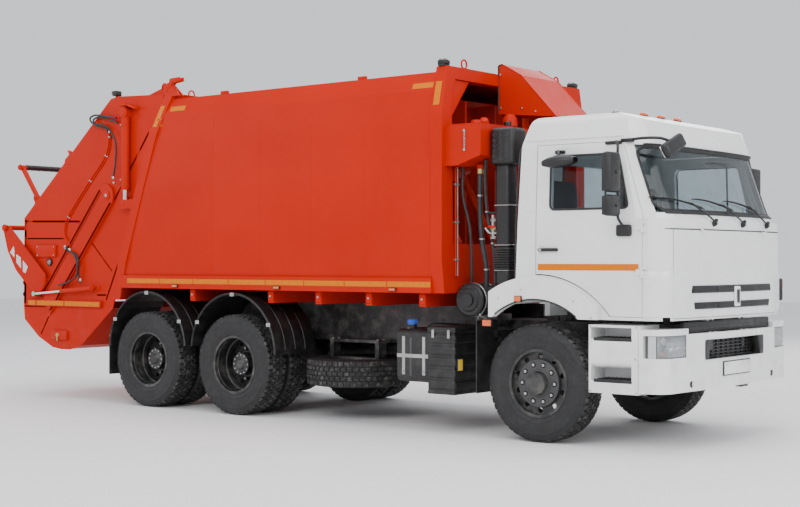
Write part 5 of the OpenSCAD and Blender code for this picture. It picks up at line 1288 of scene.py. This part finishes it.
p.lathe([(0, 0.0), (0.135, 0.0), (0.155, 0.012), (0.155, 0.05), (0.149, 0.054), (0.149, 0.07), (0.155, 0.074), (0.155, 0.26), (0.149, 0.264),
         (0.149, 0.28), (0.155, 0.284), (0.155, 0.325), (0.14, 0.338), (0.11, 0.34), (0.10, 0.352), (0.062, 0.356), (0.060, 0.37), (0.03, 0.37), (0.0, 0.362)],
        (fx, -0.72, 1.240), (0, -1, 0), BLACK, n=56)
for k in range(8):
    a = TAU * k / 8
    p.box((-0.008, -0.004, 0.075), (0.008, 0.012, 0.118), TRIM, 0.003, 1,
          Matrix.Translation((fx, -1.060, 1.24)) @ Matrix.Rotation(a, 4, "Y"))
for y in (-0.80, -0.98):
    p.lathe([(0.156, 0.0), (0.159, 0.002), (0.159, 0.022), (0.156, 0.024)], (fx, y, 1.24), (0, -1, 0), STEEL, n=56)
p.box((X(-0.745), -0.980, 1.20), (X(-0.400), -0.880, 1.375), BLACK, 0.035, 4)
p.box((X(-0.865), -0.80, 0.98), (X(-0.745), -0.44, 1.10), FRAME, 0.008, 2)
p.box((X(-0.50), -0.955, 1.36), (X(-0.42), -0.90, 1.40), STEEL, 0.004, 1)
p.done(replaces=["air_intake"])
# END C
# PIECES D
# ---------------------------------------------------------------- things hung on the frame
p = Piece("frame_hung_details", "root", "black_plastic", angle=35)
# Battery cover: ribs, lip, catches, label
for k in range(5):
    z = 0.405 + 0.106 * k
    p.box((X(-1.187), -1.191, z), (X(-0.872), -0.640, z + 0.098), BLACK, 0.030, 5)
p.box((X(-1.192), -1.192, 0.930), (X(-0.870), -0.630, 0.990), BLACK, 0.018, 4)
p.box((X(-1.188), -1.186, 0.366), (X(-0.874), -0.640, 0.400), BLACK, 0.010, 2)
for x in (-1.12, -0.94):
    p.box((X(x) - 0.014, -1.200, 0.885), (X(x) + 0.014, -1.184, 0.965), STEEL, 0.004, 1)
p.box((X(-0.868), -1.165, 0.585), (X(-0.852), -1.085, 0.700), BLACK, 0.004, 2)
p.box((X(-0.853), -1.158, 0.592), (X(-0.850), -1.092, 0.693), YELLOW, 0.001, 1)
# Urea tank: blue cap, steel bands, sight line
p.lathe([(0.048, 0.0), (0.048, 0.010), (0.042, 0.014), (0.044, 0.040), (0.036, 0.048), (0, 0.050)], (X(-1.47), -1.05, 0.998), (0, 0, 1), BLUE, n=28)
for k in range(14):
    a = TAU * k / 14
    p.rod((X(-1.47) + 0.0445 * math.cos(a), -1.05 + 0.0445 * math.sin(a), 1.012), (X(-1.47) + 0.0445 * math.cos(a), -1.05 + 0.0445 * math.sin(a), 1.038), 0.004, BLUE, n=6)
for x in (-1.50, -1.26):
    p.box((X(x), -1.1745, 0.53), (X(x + 0.034), -1.168, 0.89), STEEL, 0.002, 1)
    p.box((X(x), -1.10, 0.960), (X(x + 0.034), -0.75, 0.966), STEEL, 0.002, 1)
    p.hexagon((X(x + 0.017), -1.175, 0.56), (0, -1, 0), 0.010, 0.012, STEEL)
p.box((X(-1.56), -1.176, 0.690), (X(-1.19), -1.169, 0.726), STEEL, 0.002, 1)
p.box((X(-1.41), -1.173, 0.52), (X(-1.385), -1.169, 0.88), TRIM, 0.004, 1)
p.tube([(X(-1.40), -0.90, 0.965), (X(-1.35), -0.90, 1.00), (X(-1.25), -0.80, 1.00), (X(-1.1), -0.55, 0.98)], 0.009, HOSE, n=8, smooth=6)
# Mudguards: rolled edge, bolts, flap ribs
for s in (-1, 1):
    for cx, a0, a1 in ((-3.69, 0, 176), (-5.01, 4, 180)):
        for r in (0.615, 0.6035):
            pts = [(X(cx) + r * math.cos(math.radians(a0 + (a1 - a0) * k / 30)), s * 1.2505, 0.650 + r * math.sin(math.radians(a0 + (a1 - a0) * k / 30))) for k in range(31)]
            p.tube(pts, 0.006, BLACK, n=6, smooth=1)
        for y in (0.80, 0.95, 1.10):
            pts = [(X(cx) + 0.617 * math.cos(math.radians(a0 + 4 + (a1 - a0 - 8) * k / 30)), s * y, 0.650 + 0.617 * math.sin(math.radians(a0 + 4 + (a1 - a0 - 8) * k / 30))) for k in range(31)]
            p.tube(pts, 0.007, BLACK, n=6, smooth=1)
        for an in (30, 90, 150):
            c = (X(cx) + 0.60 * math.cos(math.radians(an)), s * 1.2535, 0.650 + 0.60 * math.sin(math.radians(an)))
            p.box((-0.028, -0.006, -0.02), (0.028, 0.006, 0.02), STEEL, 0.004, 1, Matrix.Translation(c))
            p.hexagon((c[0], s * 1.258, c[2]), (0, s, 0), 0.009, 0.006, STEEL)
    for k in range(7):
        y = s * (0.69 + 0.085 * k)
        p.box((X(-5.640), y - 0.006, 0.35), (X(-5.634), y + 0.006, 0.74), BLACK, 0.002, 1)
    a, b = sorted((s * 0.66, s * 1.24))
    p.box((X(-5.642), a, 0.74), (X(-5.630), b, 0.775), STEEL, 0.003, 1)
    # Flap behind the front wheel: ribs, stay, marker
    a, b = sorted((s * 0.86, s * 1.17))
    for k in range(5):
        z = 0.44 + 0.12 * k
        p.box((X(-0.646), a, z), (X(-0.638), b, z + 0.014), BLACK, 0.002, 1)
    p.box((X(-0.650), a, 1.06), (X(-0.622), b, 1.10), STEEL, 0.003, 1)
    a, b = sorted((s * 1.20, s * 1.235))
    p.tube([(X(-0.634), s * 1.15, 1.10), (X(-0.56), s * 1.17, 1.09), (X(-0.48), s * 1.20, 1.05)], 0.012, FRAME, n=8, smooth=4)
    p.box((X(-0.535), a, 1.010), (X(-0.430), b, 1.075), BLACK, 0.008, 2)
    a, b = sorted((s * 1.225, s * 1.244))
    p.box((X(-0.528), a, 1.016), (X(-0.437), b, 1.069), AMBER, 0.007, 3)
# Carrier of the spare wheel: bolts
for x in (-2.83, -2.23):
    for y in (-0.645, -0.555):
        p.hexagon((X(x), y, 0.797), (0, 0, 1), 0.014, 0.012, STEEL)
p.done()

p = Piece("tank_and_silencer_details", "root", "tank_metal", angle=35)
for x in (-2.73, -1.87):
    loop = ring_points([Vector((X(x), 0.557, 0.397)), Vector((X(x), 1.193, 0.397)), Vector((X(x), 1.193, 1.013)), Vector((X(x), 0.557, 1.013))], 0.10, 6)
    for dx in (-0.028, 0.028):
        gasket(p, between([v + Vector((dx, 0, 0)) for v in loop], 0.2), 0.004, GASKET, n=6)
    p.sheet([[v + Vector((-0.026, 0, 0)) for v in loop] + [loop[0] + Vector((-0.026, 0, 0))], [v + Vector((0.026, 0, 0)) for v in loop] + [loop[0] + Vector((0.026, 0, 0))]], STEEL, 0.003)
    p.rod((X(x), 0.60, 1.012), (X(x), 0.70, 1.03), 0.008, STEEL)
p.lathe([(0.062, 0.0), (0.062, 0.02), (0.056, 0.030), (0.030, 0.034), (0, 0.035)], (X(-1.80), 1.0, 1.050), (0, 0, 1), BLACK, n=32)
p.box((X(-1.812), 0.95, 1.080), (X(-1.788), 1.05, 1.094), BLACK, 0.005, 2)
p.rod((X(-2.30), 1.10, 0.40), (X(-2.30), 1.10, 0.385), 0.018, STEEL)
for x in (-2.981, -1.619):
    loop = ring_points([Vector((X(x), 0.575, 0.415)), Vector((X(x), 1.175, 0.415)), Vector((X(x), 1.175, 0.995)), Vector((X(x), 0.575, 0.995))], 0.09, 6)
    gasket(p, between(loop, 0.2), 0.006, ALU, n=6)
for x in (-1.40, -0.84):
    loop = ring_points([Vector((X(x), 0.517, 0.427)), Vector((X(x), 1.163, 0.427)), Vector((X(x), 1.163, 1.003)), Vector((X(x), 0.517, 1.003))], 0.13, 6)
    p.sheet([[v + Vector((-0.02, 0, 0)) for v in loop] + [loop[0] + Vector((-0.02, 0, 0))], [v + Vector((0.02, 0, 0)) for v in loop] + [loop[0] + Vector((0.02, 0, 0))]], STEEL, 0.003)
for k in range(8):
    for j in range(3):
        p.lathe([(0.0, 0.0015), (0.012, 0.0015)], (X(-1.30 + 0.055 * k), 1.1605, 0.65 + 0.06 * j), (0, 1, 0), GASKET, n=14)
p.tube([(X(-1.12), 0.86, 0.43), (X(-1.12), 0.86, 0.37), (X(-1.17), 0.90, 0.335), (X(-1.24), 0.98, 0.33)], 0.045, MUFFLER, n=20, smooth=6)
p.done()

# ---------------------------------------------------------------- running gear
p = Piece("running_gear_details", "root", "axle_paint", angle=35)
for s in (-1, 1):
    # Leaf lines, clamps and pads of the front springs
    for k in range(1, 4):
        pts = [(X(0.70 * i / 10), s * 0.349, 0.5825 + 0.13 * (i / 10) ** 2 + 0.016 * k * (1 - 0.6 * abs(i) / 10)) for i in range(-9, 10)]
        p.tube(pts, 0.0025, GASKET, n=6, smooth=1)
    for x in (-0.075, 0.075):
        p.tube([(X(x), s * 0.344, 0.50), (X(x), s * 0.344, 0.665), (X(x), s * 0.392, 0.678), (X(x), s * 0.436, 0.665), (X(x), s * 0.436, 0.50)], 0.011, STEEL, n=8, smooth=3)
        for y in (0.344, 0.436):
            p.hexagon((X(x), s * y, 0.452), (0, 0, 1), 0.018, 0.02, STEEL)
    p.box((X(-0.10), min(s * 0.335, s * 0.446), 0.470), (X(0.10), max(s * 0.335, s * 0.446), 0.490), AXLE, 0.005, 1)
    # Damper of the front axle
    p.rod((X(0.16), s * 0.50, 0.50), (X(0.22), s * 0.48, 0.78), 0.026, AXLE, chamfer=0.004)
    p.rod((X(0.22), s * 0.48, 0.78), (X(0.245), s * 0.47, 0.92), 0.034, BLACK, chamfer=0.004)
    # Bogie spring: leaf lines, clamp and cap
    for k in range(1, 7):
        pts = [(X(-4.35 + 0.70 * i / 10), s * 0.571, 0.598 + 0.016 * k * (1 - 0.5 * abs(i) / 10)) for i in range(-9, 10)]
        p.tube(pts, 0.0025, GASKET, n=6, smooth=1)
    for x in (-4.44, -4.26):
        p.tube([(X(x), s * 0.468, 0.50), (X(x), s * 0.468, 0.73), (X(x), s * 0.525, 0.745), (X(x), s * 0.582, 0.73), (X(x), s * 0.582, 0.50)], 0.014, STEEL, n=8, smooth=3)
    p.lathe([(0.085, 0.0), (0.085, 0.02), (0.07, 0.035), (0, 0.04)], (X(-4.35), s * 0.590, 0.542), (0, s, 0), AXLE, n=32)
    # Torque rods of the bogie
    for x0, x1 in ((-4.28, -3.72), (-4.42, -4.98)):
        p.rod((X(x0), s * 0.40, 0.44), (X(x1), s * 0.40, 0.40), 0.025, AXLE)
        for x, z in ((x0, 0.44), (x1, 0.40)):
            p.rod((X(x), s * 0.36, z), (X(x), s * 0.44, z), 0.042, GASKET)
    # Brake chambers of the driven axles
    for x in (-3.69, -5.01):
        p.lathe([(0, 0.0), (0.07, 0.0), (0.085, 0.02), (0.085, 0.06), (0.092, 0.064), (0.092, 0.074), (0.085, 0.078), (0.085, 0.13), (0.06, 0.15), (0, 0.15)],
                (X(x + 0.20), s * 0.57, 0.60), (1, 0, 0.25), FRAME, n=32)
        p.rod((X(x + 0.05), s * 0.57, 0.55), (X(x + 0.20), s * 0.57, 0.60), 0.014, STEEL)
        p.tube([(X(x + 0.30), s * 0.57, 0.69), (X(x + 0.28), s * 0.50, 0.80), (X(x + 0.20), s * 0.42, 0.86)], 0.009, HOSE, n=8, smooth=5)
    # Rivets and bolt heads along the rail
    for k in range(22):
        x = -5.35 + 0.29 * k
        for z in (0.80, 1.01):
            p.lathe([(0, 0.008), (0.009, 0.006), (0.012, 0.0)], (X(x), s * 0.432, z), (0, s, 0), FRAME, n=10)
# Differential covers and their bolts
for x in (-3.69, -5.01):
    p.lathe([(0.185, 0.0), (0.185, 0.020), (0.165, 0.030), (0.10, 0.060), (0, 0.070)], (X(x - 0.135), 0, 0.522), (-1, 0, 0), AXLE, n=40)
    for k in range(12):
        a = TAU * k / 12
        p.hexagon((X(x - 0.155), 0.174 * math.cos(a), 0.522 + 0.174 * math.sin(a)), (-1, 0, 0), 0.010, 0.010, STEEL)
# Universal joints of the shafts
for x, z in ((-1.30, 0.858), (-3.42, 0.562), (-3.95, 0.552), (-4.75, 0.552)):
    p.lathe([(0.0, -0.05), (0.06, -0.045), (0.075, -0.03), (0.075, -0.015), (0.05, -0.012), (0.05, 0.012), (0.075, 0.015), (0.075, 0.03), (0.06, 0.045), (0, 0.05)],
            (X(x), 0, z), (1, 0, 0.14), AXLE, n=28)
# Air tanks between the rails with straps
for k, y in enumerate((-0.22, 0.22)):
    p.lathe([(0, 0.0), (0.06, 0.006), (0.11, 0.035), (0.125, 0.07), (0.125, 0.55), (0.11, 0.585), (0.06, 0.614), (0, 0.62)], (X(-3.05), y, 0.905), (1, 0, 0), FRAME, n=32)
    for x in (-2.92, -2.56):
        p.lathe([(0.126, 0.0), (0.129, 0.002), (0.129, 0.03), (0.126, 0.032)], (X(x), y, 0.905), (1, 0, 0), STEEL, n=32)
# Engine: sump, ribs, pulley, fan
p.box((X(-0.30), -0.20, 0.640), (X(0.60), 0.20, 0.722), CAST, 0.03, 3)
for k in range(8):
    x = -0.36 + 0.15 * k
    for s in (-1, 1):
        a, b = sorted((s * 0.330, s * 0.350))
        p.box((X(x), a, 0.99), (X(x + 0.08), b, 1.37), CAST, 0.012, 2)
        p.hexagon((X(x + 0.04), s * 0.350, 1.34), (0, s, 0), 0.012, 0.008, STEEL)
p.lathe([(0, 0.03), (0.05, 0.03), (0.10, 0.022), (0.105, 0.006), (0.105, 0.0)], (X(0.88), 0, 0.86), (1, 0, 0), CAST, n=36)
for k in range(9):
    a = TAU * k / 9
    m = Matrix.Translation((X(0.935), 0, 1.10)) @ Matrix.Rotation(a, 4, "X") @ Matrix.Rotation(0.5, 4, "Z")
    p.box((-0.004, -0.04, 0.05), (0.004, 0.04, 0.27), BLACK, 0.003, 1, m)
p.lathe([(0, 0.03), (0.06, 0.028), (0.07, 0.0), (0.07, -0.05)], (X(0.92), 0, 1.10), (1, 0, 0), BLACK, n=28)
# Radiator ahead of the fan
p.box((X(0.985), -0.36, 0.88), (X(1.045), 0.36, 1.33), BLACK, 0.012, 2)
for k in range(24):
    z = 0.905 + 0.0175 * k
    p.box((X(1.043), -0.34, z), (X(1.050), 0.34, z + 0.006), STEEL, 0.001, 1)
p.done()
# END D
# PIECES E
# ---------------------------------------------------------------- tailgate
GATE = tree_of("tailgate", "hopper")
TILT = tree_of("tilter")


def skin(tree, s, x, z, lift=0.0):
    return cast(tree, (X(x), s * 1.6, z), (0, -s, 0), lift)


def bar(p, s, a, b, width, mat=None, thick=0.008, n=16, tree=None, lift=0.0):
    """Flat bar welded along a line of the side plate."""
    a, b = Vector((a[0], 0, a[1])), Vector((b[0], 0, b[1]))
    d = (b - a).normalized()
    w = Vector((-d.z, 0, d.x)) * width / 2
    quad = [(X(q.x), s * 1.6, q.z) for q in (a - w, b - w, b + w, a + w)]
    tape(p, tree or GATE, quad, (0, -s, 0), mat or ORANGE, (n, 1), lift, thick)


def run(p, s, points, r, mat, out, n=10, smooth=6):
    p.tube([(X(x), s * (1.16 + out), z) for x, z in points], r, mat, n=n, smooth=smooth)


for s, side_name in ((-1, "right"), (1, "left")):
    p = Piece(f"tailgate_fittings_{side_name}", "tailgate", "body_paint", angle=35)
    for a, b, w in (((-5.72, 3.400), (-7.272, 2.108), 0.045), ((-7.276, 2.09), (-7.284, 1.09), 0.035),
                    ((-7.265, 2.071), (-6.261, 2.054), 0.020), ((-7.238, 1.865), (-6.559, 1.859), 0.014),
                    ((-5.875, 2.402), (-7.02, 1.084), 0.022), ((-5.850, 2.380), (-6.995, 1.062), 0.010),
                    ((-5.692, 2.255), (-6.83, 0.945), 0.022), ((-5.076, 3.018), (-5.671, 2.266), 0.020),
                    ((-7.290, 1.057), (-5.930, 1.085), 0.014), ((-6.051, 1.807), (-5.693, 1.481), 0.012),
                    ((-5.369, 2.009), (-5.796, 1.155), 0.018), ((-6.770, 1.036), (-6.975, 0.734), 0.016), ((-5.797, 1.211), (-5.954, 1.209), 0.016)):
        bar(p, s, a, b, w)
    a, b = sorted((s * 1.155, s * 1.1915))
    p.box((X(-7.200), a, 1.066), (X(-5.860), b, 1.140), ORANGE, 0.004, 2)
    a, b = sorted((s * 1.1905, s * 1.1930))
    for x0, x1 in ((-7.18, -7.045), (-7.02, -6.52), (-6.50, -5.88)):
        p.box((X(x0), a, 1.076), (X(x1), b, 1.130), AMBER_TAPE, 0.0006, 1)
    # Round boss and bolt at the guide's top, oil hole of the post
    for (x, z), r, mat in (((-5.756, 2.339), 0.055, ORANGE), ((-5.410, 2.040), 0.018, GASKET)):
        q = skin(GATE, s, x, z)
        if q:
            p.lathe([(0, 0.010), (r * 0.8, 0.010), (r, 0.006), (r, -0.004)], q, (0, s, 0), mat, n=32)
            p.hexagon(q + Vector((0, s * 0.009, 0)), (0, s, 0), r * 0.35, 0.006, STEEL)
    # Box with a lamp under it
    a, b = sorted((s * 1.158, s * 1.190))
    p.box((X(-7.035), a, 1.645), (X(-6.680), b, 1.785), ORANGE, 0.008, 2)
    for x in (-7.01, -6.705):
        for z in (1.665, 1.765):
            p.hexagon((X(x), s * 1.190, z), (0, s, 0), 0.008, 0.004, STEEL)
    p.lathe([(0.044, 0.0), (0.044, 0.016), (0.036, 0.022), (0.034, 0.018)], (X(-6.808), s * 1.160, 1.584), (0, s, 0), BLACK, n=32)
    p.lathe([(0.034, 0.016), (0.026, 0.024), (0.0, 0.027)], (X(-6.808), s * 1.160, 1.584), (0, s, 0), CLEAR, n=32)
    # Bracket over the lifting cylinder's pin
    a, b = sorted((s * 1.150, s * 1.162))
    p.prism([(-5.530 + 3.1525, 3.300), (-5.445 + 3.1525, 3.395), (-5.280 + 3.1525, 3.395), (-5.255 + 3.1525, 3.220), (-5.335 + 3.1525, 3.150), (-5.480 + 3.1525, 3.150)], 1, a, b, ORANGE, 0.003)
    a, b = sorted((s * 1.170, s * 1.262))
    p.box((X(-5.480), a, 3.326), (X(-5.330), b, 3.340), ORANGE, 0.003, 1)
    p.prism([(-5.345 + 3.1525, 3.340), (-5.215 + 3.1525, 3.292), (-5.219 + 3.1525, 3.281), (-5.349 + 3.1525, 3.327)], 1, a, b, ORANGE, 0.002)
    # Lifting hoses with their loop, and the two pipes down the plate
    loop = [(-5.555, 3.201), (-5.743, 3.232), (-5.924, 3.255), (-6.015, 3.224), (-5.952, 3.158), (-5.762, 3.128), (-5.639, 3.040), (-5.569, 2.901), (-5.573, 2.717), (-5.610, 2.541)]
    run(p, s, loop, 0.0105, HOSE, 0.055, n=12)
    run(p, s, [(-5.555, 3.152), (-5.724, 3.199), (-5.876, 3.234), (-5.981, 3.203), (-5.904, 3.130), (-5.752, 3.096), (-5.729, 3.045)], 0.0105, HOSE, 0.035, n=12)
    for (x, z), h in (((-5.610, 2.522), 0.055), ((-5.729, 3.045), 0.020)):
        p.hexagon((X(x), s * (1.16 + h), z), (0, 0, 1), 0.016, 0.026, STEEL)
        p.rod((X(x), s * (1.16 + h), z - 0.04), (X(x) + 0.03, s * (1.16 + h), z - 0.055), 0.011, STEEL)
    for off in (0.0, 0.028):
        pts = [(-5.729, 3.039), (-5.799, 2.795), (-6.076, 2.520), (-6.469, 2.112), (-6.529, 1.906), (-6.409, 1.778)]
        pts = [(x + off, z - off * 0.5) for x, z in pts]
        path = [skin(GATE, s, x, z, 0.008) for x, z in pts]
        p.tube([q for q in path if q], 0.006, ORANGE, n=8, smooth=4)
        for x, z in pts[1:4]:
            q = skin(GATE, s, x, z, 0.006)
            if q:
                p.box(q + Vector((-0.012, -0.008, -0.006)), q + Vector((0.012, 0.010 if s > 0 else 0.008, 0.006)), STEEL, 0.002, 1)
    # Tilter hoses with fittings
    run(p, s, [(-6.468, 1.759), (-6.359, 1.696), (-6.270, 1.664), (-6.240, 1.572), (-6.245, 1.447), (-6.206, 1.352)], 0.013, HOSE, 0.042, n=12)
    run(p, s, [(-6.408, 1.715), (-6.295, 1.676), (-6.231, 1.525), (-6.270, 1.415), (-6.408, 1.351), (-6.578, 1.317)], 0.0095, HOSE, 0.060, n=12)
    for x, z in ((-6.488, 1.772), (-6.409, 1.740)):
        p.hexagon((X(x), s * 1.195, z), (0.5, 0, -0.8), 0.018, 0.040, STEEL)
    p.hexagon((X(-6.175), s * 1.222, 1.365), (0, 0, 1), 0.013, 0.03, STEEL)
    # Hook on the slope, lower draw hook box, lamp on the top corner
    a, b = sorted((s * 1.06, s * 1.085))
    p.prism([(X(-6.66), 2.650), (X(-6.42), 2.850), (X(-6.505), 2.835), (X(-6.530), 2.885), (X(-6.590), 2.900), (X(-6.560), 2.845), (X(-6.635), 2.790)], 1, a, b, ORANGE, 0.003)
    q = skin(GATE, s, -6.60, 0.745)
    if q:
        a, b = sorted((s * 1.156, s * 1.192))
        p.box((X(-6.745), a, 0.680), (X(-6.470), b, 0.785), ORANGE, 0.006, 2)
        p.lathe([(0, 0.020), (0.020, 0.018), (0.026, 0.0)], (X(-6.625), s * 1.190, 0.735), (0, s, 0), BRASS, n=24)
        p.rod((X(-6.625), s * 1.200, 0.73), (X(-6.625), s * 1.200, 0.665), 0.008, BRASS)
    p.box((X(-5.675), s * 1.12 - 0.012, 3.405), (X(-5.650), s * 1.12 + 0.012, 3.470), ORANGE, 0.003, 1)
    p.box((X(-5.700), s * 1.12 - 0.045, 3.462), (X(-5.625), s * 1.12 + 0.045, 3.520), BLACK, 0.012, 3)
    p.box((X(-5.716), s * 1.12 - 0.038, 3.468), (X(-5.694), s * 1.12 + 0.038, 3.514), CLEAR, 0.008, 3)
    # The cylinder's foot plate
    p.lathe([(0, 0.016), (0.040, 0.014), (0.050, 0.006), (0.050, 0.0)], (X(-5.960), s * 1.160, 1.290), (0, s, 0), ORANGE, n=32)
    p.done()

    p = Piece(f"lift_cylinder_{side_name}", "lift_barrels", "body_paint", angle=35)
    y = s * 1.212
    p.lathe([(0.0455, 0.0), (0.049, 0.003), (0.049, 0.055), (0.0455, 0.060), (0.036, 0.060)], (X(-5.405), y, 2.452), (0, 0, -1), ORANGE, n=40)
    p.lathe([(0.0455, 0.0), (0.048, 0.002), (0.048, 0.020), (0.0455, 0.022)], (X(-5.405), y, 3.10), (0, 0, 1), ORANGE, n=40)
    p.lathe([(0.052, -0.048), (0.062, -0.044), (0.062, 0.040), (0.052, 0.046), (0.024, 0.046), (0.020, 0.050), (0, 0.050)], (X(-5.405), y, 3.25), (0, s, 0), ORANGE, n=40)
    for z in (2.51, 3.12):
        p.box((X(-5.470), y - 0.018, z - 0.02), (X(-5.440), y + 0.018, z + 0.02), ORANGE, 0.004, 1)
        p.hexagon((X(-5.468), y, z), (-1, 0, 0), 0.014, 0.022, STEEL)
    p.done()

    p = Piece(f"lift_foot_{side_name}", "root", "body_paint", angle=35)
    a, b = sorted((s * 1.166, s * 1.178))
    p.prism([(X(-5.500), 2.330), (X(-5.250), 2.270), (X(-5.255), 2.060), (X(-5.560), 2.190)], 1, a, b, ORANGE, 0.003)
    p.lathe([(0, 0.012), (0.030, 0.012), (0.040, 0.006), (0.040, 0.0)], (X(-5.405), s * 1.244, 2.24), (0, s, 0), ORANGE, n=32)
    # Rear-top corner of the body: gusset, eye and fork bracket
    a, b = sorted((s * 1.13, s * 1.15))
    p.prism([(X(-4.90), 3.395), (X(-4.60), 3.395), (X(-4.70), 3.520), (X(-4.79), 3.545)], 1, a, b, ORANGE, 0.003)
    ring = [(X(-4.845 + 0.036 * math.cos(TAU * k / 20)), s * 1.14, 3.490 + 0.048 * math.sin(TAU * k / 20)) for k in range(21)]
    p.tube(ring, 0.010, ORANGE, n=8, smooth=1)
    for y in (1.10, 1.155):
        a, b = sorted((s * y, s * (y + 0.008)))
        p.prism([(X(-4.775), 3.470), (X(-4.735), 3.480), (X(-4.700), 3.530), (X(-4.570), 3.545), (X(-4.580), 3.590), (X(-4.740), 3.585)], 1, a, b, ORANGE, 0.002)
    p.done()

    p = Piece(f"tilter_marks_{side_name}", "tilter", "body_paint", angle=35)
    for quad in (((-7.512, 1.699), (-7.442, 1.778), (-7.426, 1.719), (-7.426, 1.640)), ((-7.388, 1.679), (-7.303, 1.640), (-7.297, 1.509), (-7.388, 1.581)), ((-7.261, 1.604), (-7.166, 1.529), (-7.213, 1.451), (-7.260, 1.470))):
        tape(p, TILT, [(X(x), s * 1.6, z) for x, z in quad], (0, -s, 0), WHITE_TAPE, (5, 5), 0.0016, 0.001)
    for x, z, r in ((-6.890, 1.353, 0.058), (-6.775, 1.375, 0.038)):
        q = skin(TILT, s, x, z)
        if q:
            p.lathe([(0, 0.018), (r * 0.4, 0.018), (r * 0.45, 0.012), (r * 0.9, 0.012), (r, 0.007), (r, 0.0)], q, (0, s, 0), ORANGE, n=36)
            for k in range(6):
                v = Vector((math.cos(TAU * k / 6), 0, math.sin(TAU * k / 6))) * r * 0.7
                p.hexagon(q + v + Vector((0, s * 0.012, 0)), (0, s, 0), 0.006, 0.005, STEEL)
    p.lathe([(0.0305, 0.0), (0.040, 0.003), (0.040, 0.026), (0.030, 0.032), (0, 0.034)], (X(-7.60), s * 1.212, 2.00), (0, s, 0), ORANGE, n=32)
    p.done()

p = Piece("lid_roller", "lid_bar", "black_plastic", angle=35)
p.lathe([(0.0285, 0.0), (0.034, 0.004), (0.034, 0.05)] + [(0.034 if k % 2 else 0.0325, 0.06 + 0.045 * k) for k in range(39)] + [(0.034, 1.83), (0.034, 1.876), (0.0285, 1.88)], (X(-7.57), -0.94, 2.74), (0, 1, 0), BLACK, n=28)
for s in (-1, 1):
    p.lathe([(0.0285, 0.0), (0.036, 0.002), (0.036, 0.012), (0.0285, 0.014)], (X(-7.57), s * 1.015, 2.74), (0, s, 0), ORANGE, n=28)
    p.lathe([(0.052, 0.0), (0.052, 0.008), (0.044, 0.012), (0.018, 0.012), (0.016, 0.020), (0, 0.020)], (X(-7.27), s * 1.006, 2.36), (0, s, 0), ORANGE, n=32)
p.done()

# ---------------------------------------------------------------- rear face
p = Piece("rear_face_details", "tailgate", "tail_lamp", angle=35)
for k in range(12):
    y = -1.10 + 0.185 * k
    tape(p, GATE, [(-4.9, y, 2.012), (-4.9, y + 0.160, 2.012), (-4.9, y + 0.160, 2.072), (-4.9, y, 2.072)], (1, 0, 0), RED_TAPE if k % 2 else WHITE_TAPE, (3, 1))
p.tube([(X(-7.305), y, 1.072) for y in span(-1.12, 1.12, 12)], 0.011, GASKET, n=10, smooth=1)
for s in (-1, 1):
    x = X(-7.335)
    cuts = (0.828, 0.925, 1.020, 1.112)
    for k, mat in enumerate((CLEAR, RED, AMBER)):
        a, b = sorted((s * (cuts[k] + 0.004), s * (cuts[k + 1] - 0.004)))
        p.box((x - 0.012, a, 0.912), (x + 0.010, b, 0.998), mat, 0.012, 4)
    a, b = sorted((s * 0.818, s * 1.122))
    p.box((x - 0.004, a, 0.898), (x + 0.034, b, 1.012), BLACK, 0.010, 3)
    for z in (1.20, 1.34):
        p.lathe([(0.036, 0.0), (0.036, 0.012), (0.030, 0.016)], (X(-7.300), s * 1.137, z), (-1, 0, 0), BLACK, n=28)
        p.lathe([(0.030, 0.010), (0.022, 0.018), (0, 0.021)], (X(-7.300), s * 1.137, z), (-1, 0, 0), RED if z < 1.3 else AMBER, n=28)
    # Grab handle and rubber buffers
    p.tube([(X(-7.292), s * 1.10, 1.50), (X(-7.345), s * 1.10, 1.50), (X(-7.345), s * 1.10, 1.88), (X(-7.292), s * 1.10, 1.88)], 0.011, BLACK, n=10, smooth=3)
    p.box((X(-7.340), s * 0.60 - 0.05, 0.955), (X(-7.295), s * 0.60 + 0.05, 1.045), GASKET, 0.012, 3)
p.box((X(-7.330), -0.265, 0.905), (X(-7.322), 0.265, 1.025), WHITE, 0.003, 2)
p.box((X(-7.326), -0.275, 0.895), (X(-7.306), 0.275, 1.035), BLACK, 0.004, 2)
for y in (-0.16, 0.16):
    p.box((X(-7.335), y - 0.03, 1.035), (X(-7.30), y + 0.03, 1.058), BLACK, 0.005, 2)
# Weld beads and stiffeners of the slope
for y in (-0.70, 0.0, 0.70):
    pts = []
    for k in range(24):
        t = 0.10 + 0.78 * k / 23
        x, z = -5.72 - 1.58 * t, 3.43 - 1.318 * t
        q = cast(GATE, (X(x) - 0.755 * 0.9 + 0.0, y, z + 0.9 * 0.9), (0.64, 0, -0.768), 0.004)
        if q:
            pts.append(q)
    if len(pts) > 2:
        p.tube(pts, 0.008, ORANGE, n=6, smooth=1)
p.done()
